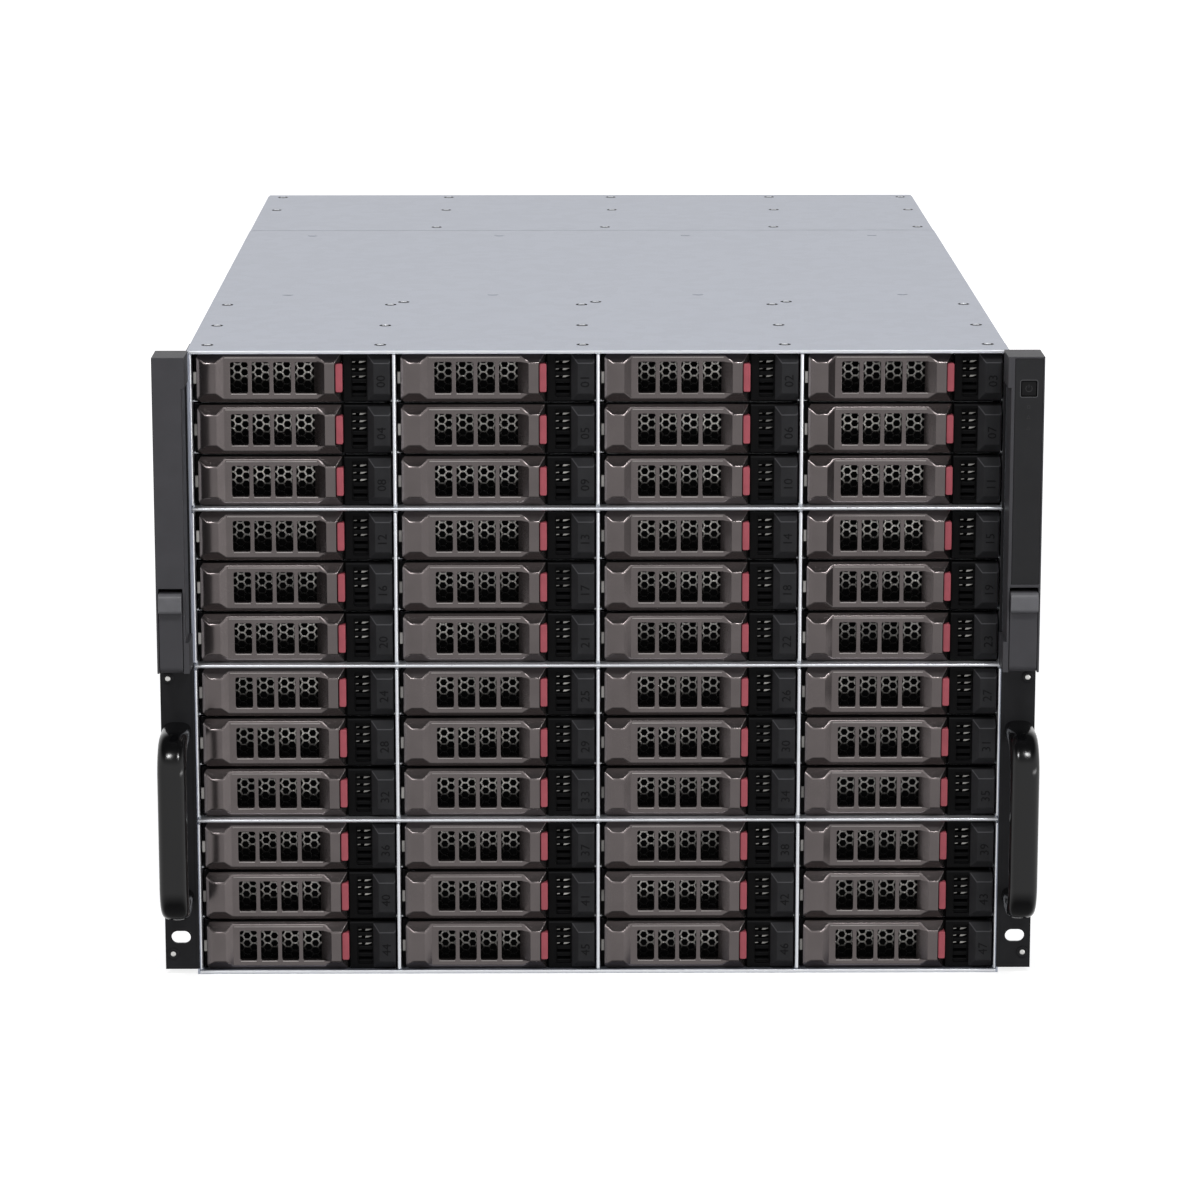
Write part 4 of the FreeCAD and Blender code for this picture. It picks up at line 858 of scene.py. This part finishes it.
# Each piece's body and slot, and whether it stands for a CAD node.
fronts = {"lever": ("handle", "lever_paint", True), "release": ("button", "release_red", True),
          "bezel": ("carrier", "bezel_black", True), "screen": ("carrier", "screen_steel", True),
          "spring": ("carrier", "screen_steel", False), "glint": ("carrier", "screen_steel", False),
          "backing": ("carrier", "bezel_black", False), "sill": ("handle", "lever_paint", False)}


def placeFronts():
    masters = {"lever": makeLever(True), "release": makeRelease(), "bezel": makeBezel(True),
               "screen": makeScreen(), "spring": makeSpring(), "glint": makeGlints(),
               "backing": makeShadeSheet(), "sill": makeHighlightStrips()}
    plain = {"lever": makeLever(False), "bezel": makeBezel(False)}
    for bay, prefix in zip(liveBays, bayNames):
        for kind, master in masters.items():
            piece = moved(master, f"{prefix}{kind}Front", bayCorner(*bay))
            body, slot, stands = fronts[kind]
            belongs(piece, prefix + body, slot, *([prefix + kind] if stands else []))
        digits = joined(f"{prefix}number", [makeNumber(f"{bay[0]:02d}", bay)], "numberGrey")
        belongs(digits, prefix + "carrier", "bezel_black")
    corners = [bayCorner(*bay) for bay in latchedBays]
    for kind, master in masters.items():
        shape = plain.get(kind, master)
        piece = repeated(f"latched{kind.capitalize()}Fronts", shape, corners, shape.data.materials[0])
        slot, stands = fronts[kind][1:]
        belongs(piece, "chassis", slot, *([f"latched_{kind}s"] if stands else []))
    meshes = [makeNumber(f"{index + len(liveBays):02d}", bay) for index, bay in enumerate(latchedBays)]
    belongs(joined("latchedNumbers", meshes, "numberGrey"), "chassis", "bezel_black")
    print("carrier faces:", {name: len(obj.data.polygons) for name, obj in masters.items()})
    for master in list(masters.values()) + list(plain.values()):
        drop(master)


placeFronts()
print("carrier fronts placed:", len(liveBays) + len(latchedBays))


# Cage: dividers with runners, shelves, and the ear's fold over the side wall.

divider = {"gauge": 2.0, "linerInner": 221.0, "linerOuter": 222.3, "reach": 2.2, "runner": 0.8,
           "runnerStart": 14.0, "depth": 172.0, "lip": 7.0, "lipLap": 1.0, "shy": 0.9, "set": 0.35,
           "edge": 0.92, "share": 0.46}


def addDivider(bm, left, right, runnerSides):
    # The front lip is rounded, sits a little back and stops short of the shelves.
    high = cage["rowsInBlock"] * cage["rowPitch"]
    lip = blocks("lipShape", ((left, divider["set"], divider["shy"]),
                              (right, divider["lip"], high - divider["shy"])))
    ease(lip, divider["share"] * (right - left), 3)
    lip.data.transform(Matrix.Scale(1 / mm, 4))
    bm.from_mesh(lip.data)
    drop(lip)
    block(bm, (left, divider["lip"] - divider["lipLap"], 0), (right, divider["depth"], high))
    for row in range(1, cage["rowsInBlock"]):
        level = row * cage["rowPitch"]
        for side in runnerSides:
            near = left - divider["reach"] if side < 0 else right
            block(bm, (near, divider["runnerStart"], level - divider["runner"]),
                  (near + divider["reach"], divider["depth"], level))


def makeCage():
    bm = bmesh.new()
    half = divider["gauge"] / 2
    inner, outer = divider["linerInner"], divider["linerOuter"]
    for column in range(1, cage["columns"]):
        middle = (column - cage["columns"] // 2) * cage["columnPitch"]
        addDivider(bm, middle - half, middle + half, (-1, 1))
    addDivider(bm, -outer, -inner, (1,))
    addDivider(bm, inner, outer, (-1,))
    levels = [cage["floor"] + index * cage["blockStep"] for index in range(cage["blocks"])]
    points = [(0, cage["front"], level) for level in levels]
    addRepeats("cageDividers", made("dividerShape", bm), points, "cageZinc", "cage_zinc",
               replaced=["bay_dividers"])
    shelves = dressedCopy("bay_shelves", "cageShelves", divider["edge"], 3)
    dress(shelves, "cageZinc", "chassis", "cage_zinc", "bay_shelves")


makeCage()

hem = {"half": 222.3, "reach": 0.4, "sunk": 0.3, "edge": 0.6, "floor": (0.05, 2.1), "top": (350.1, 351.85)}


def makeHems():
    # The folded front edges of the floor and the top, in a brighter zinc that paints a highlight along
    # them.
    for name in ("floor", "top"):
        low, high = hem[name]
        strip = blocks(f"{name}Hem", ((-hem["half"], cage["front"] - hem["reach"], low),
                                      (hem["half"], cage["front"] + hem["sunk"], high)))
        dress(ease(strip, hem["edge"], 3), "hemZinc", "chassis", "cage_zinc")


makeHems()

fold = {"inner": 222.35, "outer": 224.0, "gauge": 0.2, "sunk": 0.1, "bottom": 3.2, "top": 178.5,
        "lapTop": 350.6, "lapInner": 220.7, "lapFront": 0.02, "lapBack": 0.6}


def makeFolds():
    # Below its cover each ear laps over the edge of the side wall, and behind the right cover over
    # the liner too.
    front = cage["front"]
    for side, sign in (("left", -1), ("right", 1)):
        near, far = sorted((sign * fold["inner"], sign * fold["outer"]))
        boxes = [((near, front - fold["gauge"], fold["bottom"]), (far, front + fold["sunk"], fold["top"]))]
        if side == "right":
            boxes.append(((fold["lapInner"], front + fold["lapFront"], fold["top"]),
                          (far, front + fold["lapBack"], fold["lapTop"])))
        dress(blocks(f"earFold.{side}", *boxes), "earPaint", "chassis", "ear_paint")


makeFolds()
print("cage made")


# Ear covers, latches and handles.

cover = {"edge": 0.28}
for side in ("left", "right"):
    shell = dressedCopy(f"ear_cover_{side}", f"earCover.{side}", cover["edge"], 2)
    dress(shell, "coverCharcoal", "chassis", "cover_charcoal", f"ear_cover_{side}")

latch = {"gauge": 8.0, "grip": 4.2, "gripHeight": 11.0, "gripTop": 3.2, "gripLip": 2.2, "lipDrop": 0.6,
         "pin": 1.5, "pinSides": 12, "pinLap": 0.5, "stub": 1.5, "edge": 0.5, "gripMargin": 0.3,
         "easeAngle": 40}


def makeLatch(side):
    low, high = boxOf(f"ear_latch_{side}")
    left, right = low.x + latch["stub"], high.x - latch["stub"]
    front, top, bottom = low.y + latch["grip"], high.z, low.z
    half, grip = latch["gauge"] / 2, latch["grip"]
    axis = (front + half, bottom + half)
    gripFoot = top - latch["gripHeight"]
    profile = arc(axis, half, 180, 360, 8) + [(front + latch["gauge"], top)]
    # A rounded grip with a soft lip under it.
    upper, lower = latch["gripTop"], latch["gripLip"]
    profile += arc((front - grip + upper, top - upper), upper, 90, 180, 6)
    profile += arc((front - grip + lower, gripFoot + lower), lower, 180, 250, 4)
    profile += [(front, gripFoot - latch["lipDrop"])]
    obj = extruded(f"flipLatch.{side}", profile, "x", left, right)
    ease(obj, latch["edge"], 3, latch["easeAngle"])
    bm = reopened(obj)
    for start, end in ((low.x, left + latch["pinLap"]), (right - latch["pinLap"], high.x)):
        ringed(bm, (0, *axis), "x", [(latch["pin"], start), (latch["pin"], end)], latch["pinSides"])
    paint(smooth(renewed(obj, bm)), "coverCharcoal", "gripCharcoal")
    for face in obj.data.polygons:
        middle = face.center / mm
        isGrip = middle.z > gripFoot - latch["gripMargin"] and middle.y < front
        face.material_index = 1 if isGrip else 0
    belongs(obj, f"latch_{side}", "latch_charcoal", f"ear_latch_{side}")


handle = {"bar": 11.5, "bend": 22.0, "power": 2.8, "around": 32, "bendSteps": 12, "smoothAngle": 50}


def handlePath(low, high):
    # Points with their directions, from the lower foot round to the upper one, along y and z.
    half = handle["bar"] / 2
    back, front = high.y, low.y + half
    bottom, top = low.z + half, high.z - half
    radius = handle["bend"] - half
    rest = (back + front + radius) / 2
    path = [((back, bottom), (-1, 0)), ((rest, bottom), (-1, 0))]
    for level, start, end in ((bottom + radius, 270, 180), (top - radius, 180, 90)):
        for index in range(handle["bendSteps"] + 1):
            turn = math.radians(start + (end - start) * index / handle["bendSteps"])
            point = (front + radius + radius * math.cos(turn), level + radius * math.sin(turn))
            path.append((point, (math.sin(turn), -math.cos(turn))))
        if end == 180:
            path.append(((front, (bottom + top) / 2), (0, 1)))
    return path + [((rest, top), (1, 0)), ((back, top), (1, 0))]


def makeHandle(side):
    low, high = boxOf(f"handle_{side}")
    middle, halfWidth, half = (low.x + high.x) / 2, (high.x - low.x) / 2, handle["bar"] / 2
    bm = bmesh.new()
    rings = []
    for (y, z), (alongY, alongZ) in handlePath(low, high):
        ring = []
        for index in range(handle["around"]):
            turn = 2 * math.pi * index / handle["around"]
            cosine, sine = math.cos(turn), math.sin(turn)
            across = math.copysign(abs(cosine) ** (2 / handle["power"]), cosine) * halfWidth
            out = math.copysign(abs(sine) ** (2 / handle["power"]), sine) * half
            ring.append(bm.verts.new((middle + across, y - alongZ * out, z + alongY * out)))
        rings.append(ring)
    closeRings(bm, rings)
    obj = smooth(made(f"carryHandle.{side}", bm), handle["smoothAngle"])
    dress(obj, "handleBlack", "chassis", "handle_black", f"handle_{side}")


for side in ("left", "right"):
    makeLatch(side)
    makeHandle(side)
print("ear pieces made")


# Front panel: insert, power key, marks.

panel = {"insertEdge": 0.18, "keyEdge": 0.4, "frame": 0.5, "frameGap": 0.34, "frameRelief": 0.12,
         "frameSunk": 0.3, "frameCorners": (1.3, 0.8), "firstMark": 9.95, "markPitch": 5.9, "marks": 3,
         "squareHalf": 0.85, "squareCorners": (0.3, 0.15), "triangleRadius": 1.35, "line": 0.22,
         "ink": 0.03, "signRadii": (1.9, 1.55), "signArc": (125, 415, 22), "strokeHalf": 0.18,
         "stroke": (0.5, 2.2)}


def frameLine(bm, outer, inner, low, high):
    # A closed flat ring between two outlines of equal count.
    rings = [[bm.verts.new((x, level, z)) for x, z in outline] for outline, level in
             ((outer, high), (outer, low), (inner, low), (inner, high))]
    for first, second in zip(rings, rings[1:] + rings[:1]):
        wall(bm, first, second)


def squareAbout(x, z, half, corner, steps):
    return roundedRect((x - half, z - half), (x + half, z + half), corner, steps)


def makePanel():
    insert = dressedCopy("panel_insert", "panelInsert", panel["insertEdge"], 2)
    dress(insert, "insertBlack", "chassis", "insert_black", "panel_insert")
    key = dressedCopy("power_button", "powerKey", panel["keyEdge"], 3)
    dress(key, "keyGrey", "power_key", "key_grey", "power_button")
    low, high = boxOf("power_button")
    middle = (low + high) / 2
    half = (high.x - low.x) / 2
    face = boxOf("panel_insert")[0].y
    makeKeyFrame(middle, half, face)
    makeKeySign(middle, low.y)
    makeMarks(middle, face)


def makeKeyFrame(middle, half, face):
    inner = half + panel["frameGap"]
    halves = (inner + panel["frame"], inner)
    outlines = [squareAbout(middle.x, middle.z, size, corner, 4)
                for size, corner in zip(halves, panel["frameCorners"])]
    bm = bmesh.new()
    frameLine(bm, *outlines, face - panel["frameRelief"], face + panel["frameSunk"])
    dress(made("powerKeyFrame", bm), "frameGrey", "chassis", "insert_black")


def makeKeySign(middle, face):
    # A broken ring with an upright stroke.
    x, z, ink = middle.x, middle.z, panel["ink"]
    bm = bmesh.new()
    outer, inner = (arc((x, z), radius, *panel["signArc"]) for radius in panel["signRadii"])
    prism(bm, outer + inner[::-1], "y", face - ink, face + ink)
    half, (low, high) = panel["strokeHalf"], panel["stroke"]
    block(bm, (x - half, face - ink, z + low), (x + half, face + ink, z + high))
    dress(made("powerKeySign", bm), "markGrey", "power_key", "key_grey")


def makeMarks(middle, face):
    x, ink = middle.x, panel["ink"]
    bm = bmesh.new()
    for index in range(panel["marks"]):
        z = middle.z - panel["firstMark"] - index * panel["markPitch"]
        if index == 0:
            outerCorner, innerCorner = panel["squareCorners"]
            outer = squareAbout(x, z, panel["squareHalf"], outerCorner, 3)
            inner = squareAbout(x, z, panel["squareHalf"] - panel["line"], innerCorner, 3)
        else:
            radius = panel["triangleRadius"]
            outer = arc((x, z), radius, 90, 330, 2)
            inner = arc((x, z), radius - 2 * panel["line"], 90, 330, 2)
        frameLine(bm, outer, inner, face - ink, face + ink)
    dress(made("panelMarks", bm), "markGrey", "chassis", "insert_black")


makePanel()
print("front panel made")


# Enclosure skins and screws.

skin = {"drop": 0.35, "edge": 0.45, "frontLean": 0.3}


def makeTopSkin(node, name, frontHighlightFinish):
    # A little lower than the CAD cover, so the screw heads stay inside its height.
    low, high = boxOf(node)
    obj = ease(blocks(name, (low, (high.x, high.y, high.z - skin["drop"]))), skin["edge"], 2)
    # Faces turned to the front take the second finish: on the front cover a brighter zinc, a painted
    # highlight along its front edge; on the rear cover the same galvanised.
    paint(obj, "galvanised", frontHighlightFinish)
    for face in obj.data.polygons:
        face.material_index = 1 if face.normal.y < -skin["frontLean"] else 0
    belongs(obj, "chassis", "galvanised", node)


makeTopSkin("top_cover_front", "topSkin.front", "cageZinc")
makeTopSkin("top_cover_rear", "topSkin.rear", "galvanised")

screw = {"head": 2.0, "rise": 0.3, "socket": 0.8, "collar": 0.4, "taper": 0.8, "floor": 0.1, "sides": 12,
         "gap": 3.4, "gapRise": 0.04}


def makeScrew(axis, sign):
    # A low head with a sunk drive.
    head, rise, socket, taper = screw["head"], screw["rise"] * sign, screw["socket"], screw["taper"]
    profile = [(head, 0), (head, rise * screw["collar"]), (head * taper, rise), (socket, rise),
               (socket * taper, rise * screw["floor"])]
    return turned("screwShape", axis, profile, screw["sides"])


def makeGap(axis, sign):
    # Painted shade: a dark disc for the shadow in the hole round a screw head.
    profile = [(screw["gap"], 0), (screw["gap"], screw["gapRise"] * sign)]
    return turned("gapShape", axis, profile, screw["sides"])


def addScrews(name, axis, sign, points, slot="galvanised"):
    addRepeats(f"{name}Heads", makeScrew(axis, sign), points, "screwSteel", slot)
    addRepeats(f"{name}Gaps", makeGap(axis, sign), points, "ventShadow", slot)


topRows = [((20.5, 91.7, 172.5), (-213.5, -119.0, -8.3, 102.3, 213.5)),
           ((183.0,), (-111.75, 0.0, 111.0)),
           ((525.0,), (-102.0, 8.6, 119.2, 214.0)),
           ((616.0, 687.0), (-212.6, -98.0, 14.0, 123.6, 214.5))]
dimpleRows = [((213.0, 482.0), (-181.0, -60.3, 60.3, 181.0))]
dimple = {"profile": [(3.4, 0), (2.6, 0.22), (1.2, 0.3)], "sides": 14}


def topPoints(rows):
    front, level = cage["front"], cage["top"] - skin["drop"]
    return [(x, front + depth, level) for depths, places in rows for depth in depths for x in places]


def dressTop():
    addScrews("topScrew", "z", 1, topPoints(topRows))
    shape = turned("dimpleShape", "z", dimple["profile"], dimple["sides"])
    addRepeats("topDimples", shape, topPoints(dimpleRows), "galvanised", "galvanised")


dressTop()

earScrew = {"x": 237.0, "levels": (11.8, 169.4), "ringSides": 20, "dotSides": 12,
            "ring": [(3.2, 0), (3.2, -0.5), (2.6, -0.8), (1.75, -0.6), (1.45, -0.2)],
            "dot": [(1.45, 0), (1.45, -0.5), (0.87, -0.75)]}
sideScrew = {"flange": 1.6, "flangeLevels": (30.0, 120.0, 232.0, 322.0), "flangeDepth": 22.0,
             "rivetLevels": (14.0, 338.0), "rivetDepths": (90.0, 190.0, 300.0, 410.0, 520.0, 630.0)}


def dressSides():
    front = cage["front"]
    points = [(sign * earScrew["x"], front, level) for sign in (-1, 1) for level in earScrew["levels"]]
    ring = turned("earRingShape", "y", earScrew["ring"], earScrew["ringSides"])
    addRepeats("earRings", ring, points, "earPaint", "ear_paint")
    dot = turned("earDotShape", "y", earScrew["dot"], earScrew["dotSides"])
    addRepeats("earDots", dot, points, "brightTrim", "screen_steel")
    for side, sign, corner in zip(("left", "right"), (-1, 1), boxOf("chassis_base")):
        wallX = corner.x
        flangeX = wallX + sign * sideScrew["flange"]
        points = [(flangeX, front + sideScrew["flangeDepth"], z) for z in sideScrew["flangeLevels"]]
        addScrews(f"flangeScrew.{side}", "x", sign, points)
        points = [(wallX, front + depth, z) for depth in sideScrew["rivetDepths"]
                  for z in sideScrew["rivetLevels"]]
        addRepeats(f"sideRivets.{side}", makeScrew("x", sign), points, "galvanised", "galvanised")


dressSides()
print("screws placed")


# Rear: air holes as painted shade, inlets, port contacts, screws.

vent = {"hole": 2.1, "pitch": 5.6, "rise": 0.04, "sides": 6, "stagger": 0.25,
        "fields": [(-110.0, 236.0, 24, 20), (110.0, 236.0, 24, 20)],
        "supplyFields": [(36.0, 33.5, 6, 1), (36.0, 5.5, 6, 1)], "supplyHole": 1.5, "supplyPitch": 4.4}


def makeHole(radius):
    # A flat dark disc just proud of the panel: painted shade for an air hole.
    return turned("holeShape", "y", [(radius, 0), (radius, vent["rise"])], vent["sides"])


def holePoints(middleX, middleZ, columns, rows, pitch, y):
    # Holes in staggered rows.
    points = []
    for row in range(rows):
        shift = vent["stagger"] if row % 2 else -vent["stagger"]
        for column in range(columns):
            points.append((middleX + (column - (columns - 1) / 2 + shift) * pitch, y,
                           middleZ + (row - (rows - 1) / 2) * pitch * math.sqrt(3) / 2))
    return points


inlet = {"blades": ((18.0, 19.5), (11.5, 13.0), (24.5, 13.0)), "half": (1.0, 2.2), "back": 15.0,
         "front": 3.0, "edge": 0.3}
port = {"first": 8.0, "pitch": 20.0, "count": 4, "contacts": 8, "contactPitch": 1.05,
        "strip": [(-11.0, 8.3), (-1.0, 5.2), (-1.0, 5.5), (-11.0, 8.6)], "halfWidth": 0.22}
rearScrews = ([(x, cage["rear"], z) for x in (-212.0, 212.0) for z in (60.0, 180.0, 300.0)]
              + [(x, cage["rear"], 342.0) for x in (-140.0, -45.0, 45.0, 140.0)])


def makeContacts():
    bm = bmesh.new()
    for index in range(port["contacts"]):
        x = (index - (port["contacts"] - 1) / 2) * port["contactPitch"]
        prism(bm, port["strip"], "x", x - port["halfWidth"], x + port["halfWidth"])
    return made("contactShape", bm)


def dressSupply(index):
    low = boxOf(f"power_supply_{index}")[0]
    halfX, halfZ = inlet["half"]
    back, front = cage["rear"] - inlet["back"], cage["rear"] - inlet["front"]
    boxes = [((low.x + across - halfX, back, low.z + up - halfZ),
              (low.x + across + halfX, front, low.z + up + halfZ)) for across, up in inlet["blades"]]
    blades = ease(blocks(f"inletBlades.{index}", *boxes), inlet["edge"], 2)
    dress(blades, "brightTrim", f"supply_{index}", "port_shell")
    points = []
    for across, up, columns, rows in vent["supplyFields"]:
        points += holePoints(low.x + across, low.z + up, columns, rows, vent["supplyPitch"], cage["rear"])
    addRepeats(f"supplyHoles.{index}", makeHole(vent["supplyHole"]), points, "ventShadow", "supply_steel",
               f"supply_{index}")


def dressRear():
    points = []
    for field in vent["fields"]:
        points += holePoints(*field, vent["pitch"], cage["rear"])
    addRepeats("rearHoles", makeHole(vent["hole"]), points, "ventShadow", "galvanised")
    for index in (1, 2):
        dressSupply(index)
    low = boxOf("network_ports")[0]
    first, pitch = low.x + port["first"], port["pitch"]
    points = [(first + index * pitch, cage["rear"], low.z) for index in range(port["count"])]
    addRepeats("portContacts", makeContacts(), points, "goldContact", "port_shell")
    addScrews("rearScrew", "y", 1, rearScrews)


dressRear()
print("rear details made")


# CAD pieces that keep their shape.

nodeFinish = {
    "galvanised": ["chassis_base", "rear_panel", "slot_covers", "fan_wall"],
    "boardGreen": ["backplanes", "controller_board"],
    "socketBlack": ["backplane_sockets"],
    "fanBlack": ["fan_frames", "fan_rotor_1", "fan_rotor_2", "fan_rotor_3"],
    "heatsinkAlloy": ["cpu_heatsink"],
    "portShell": ["network_ports"],
    "supplySteel": ["power_supply_1", "power_supply_2"],
    "earPaint": ["rack_ear_left", "rack_ear_right"],
    "sledSteel": ["latched_sleds"] + [f"{prefix}sled" for prefix in bayNames],
    "driveAlloy": ["latched_drives"] + [f"{prefix}drive" for prefix in bayNames],
}
for name, members in nodeFinish.items():
    for member in members:
        paint(nodes[member], name)
print("CAD pieces painted:", sum(len(members) for members in nodeFinish.values()))


# Floor, light, camera.

floorLook = {"size": 14, "tone": 0.62, "patch": 400, "tint": 1.02, "roughness": 0.9,
             "levels": (0.74, 0.95), "edges": (0.5, 2.2)}


def seenRays(tree):
    # 1 for what the camera, a mirror or a window looks at, 0 for light that falls on a surface.
    rays = tree.nodes.new("ShaderNodeLightPath")
    direct = figure(tree, "MAXIMUM", rays.outputs["Is Camera Ray"], rays.outputs["Is Transmission Ray"])
    return direct, rays.outputs["Is Glossy Ray"]


def makeFloor():
    bm = bmesh.new()
    bmesh.ops.create_grid(bm, x_segments=1, y_segments=1, size=floorLook["size"])
    floor = link("paleFloor", toMesh(bm, "paleFloor", 1))
    material, tree, shader = shaderNodes("paleFloor")
    tone = (floorLook["tone"],) * 3
    light = shade(tone, floorLook["tint"])
    distance = addNode(tree, "ShaderNodeVectorMath", "Value", {0: coordinates(tree)}, operation="LENGTH")
    glow = spread(tree, distance, *floorLook["levels"], *floorLook["edges"])
    seen = figure(tree, "MAXIMUM", *seenRays(tree))
    feed(tree, shader, {"Base Color": twoTone(tree, noise(tree, floorLook["patch"]), tone, light),
                        "Roughness": floorLook["roughness"], "Specular IOR Level": 0.0,
                        "Emission Color": (1, 1, 1, 1),
                        "Emission Strength": figure(tree, "MULTIPLY", glow, seen)})
    finish["paleFloor"] = material
    paint(floor, "paleFloor")
    floor.visible_glossy = False


ambient = 0.44
# How bright each side of the room is in reflections: the axis, two levels and where they begin.
roomSides = {"ceiling": ("Z", 1.0, 0.05, 0.45, 0.75), "ground": ("Z", 0.12, 1.0, -0.85, -0.4),
             "left": ("X", 0.95, 1.0, -0.85, -0.1), "front": ("Y", 0.72, 1.0, -0.7, -0.05)}


def makeWorld():
    # White to look at, and darker in reflections, as a studio is.
    world = bpy.data.worlds.new("studio")
    scene.world = world
    world.use_nodes = True
    tree = world.node_tree
    direct, mirrored = seenRays(tree)
    rest = figure(tree, "SUBTRACT", 1.0, figure(tree, "MAXIMUM", direct, mirrored))
    for axis, *levels in roomSides.values():
        side = spread(tree, along(tree, axis, "Generated"), *levels)
        mirrored = figure(tree, "MULTIPLY", mirrored, side)
    fallen = figure(tree, "MULTIPLY", rest, ambient)
    strength = figure(tree, "ADD", figure(tree, "ADD", direct, mirrored), fallen)
    feed(tree, tree.nodes["Background"], {"Color": (1, 1, 1, 1), "Strength": strength})


highLamp = {"to": (0, -0.35, 0.2), "size": (0.3, 0.4), "power": 11}
lights = [
    {"name": "keyRight", "at": (2.1, -2.0, 0.17), "to": (0, -0.3, 0.17), "size": (2.0, 0.3), "power": 9},
    {"name": "highRight", "at": (0.62, -1.8, 2.15), **highLamp},
    {"name": "highLeft", "at": (-0.62, -1.8, 2.15), **highLamp},
]


def makeLights():
    for light in lights:
        data = bpy.data.lights.new(light["name"], "AREA")
        data.shape = "ELLIPSE"
        data.size, data.size_y = light["size"]
        data.energy = light["power"]
        lamp = link(light["name"], data)
        lamp.location = light["at"]
        aim = Vector(light["to"]) - Vector(light["at"])
        lamp.rotation_euler = aim.to_track_quat("-Z", "Y").to_euler()


view = {"at": (-0.01858, -2.76642, 0.72864), "pitch": 12.039, "yaw": -0.465, "lens": 134.99, "sensor": 36}


def makeCamera():
    data = bpy.data.cameras.new("photoView")
    data.lens = view["lens"]
    data.sensor_width = view["sensor"]
    camera = link("photoView", data)
    camera.location = view["at"]
    camera.rotation_euler = (math.radians(90 - view["pitch"]), 0, math.radians(view["yaw"]))
    scene.camera = camera


makeFloor()
makeWorld()
makeLights()
makeCamera()
scene.view_settings.view_transform = "Standard"
print("scene ready")
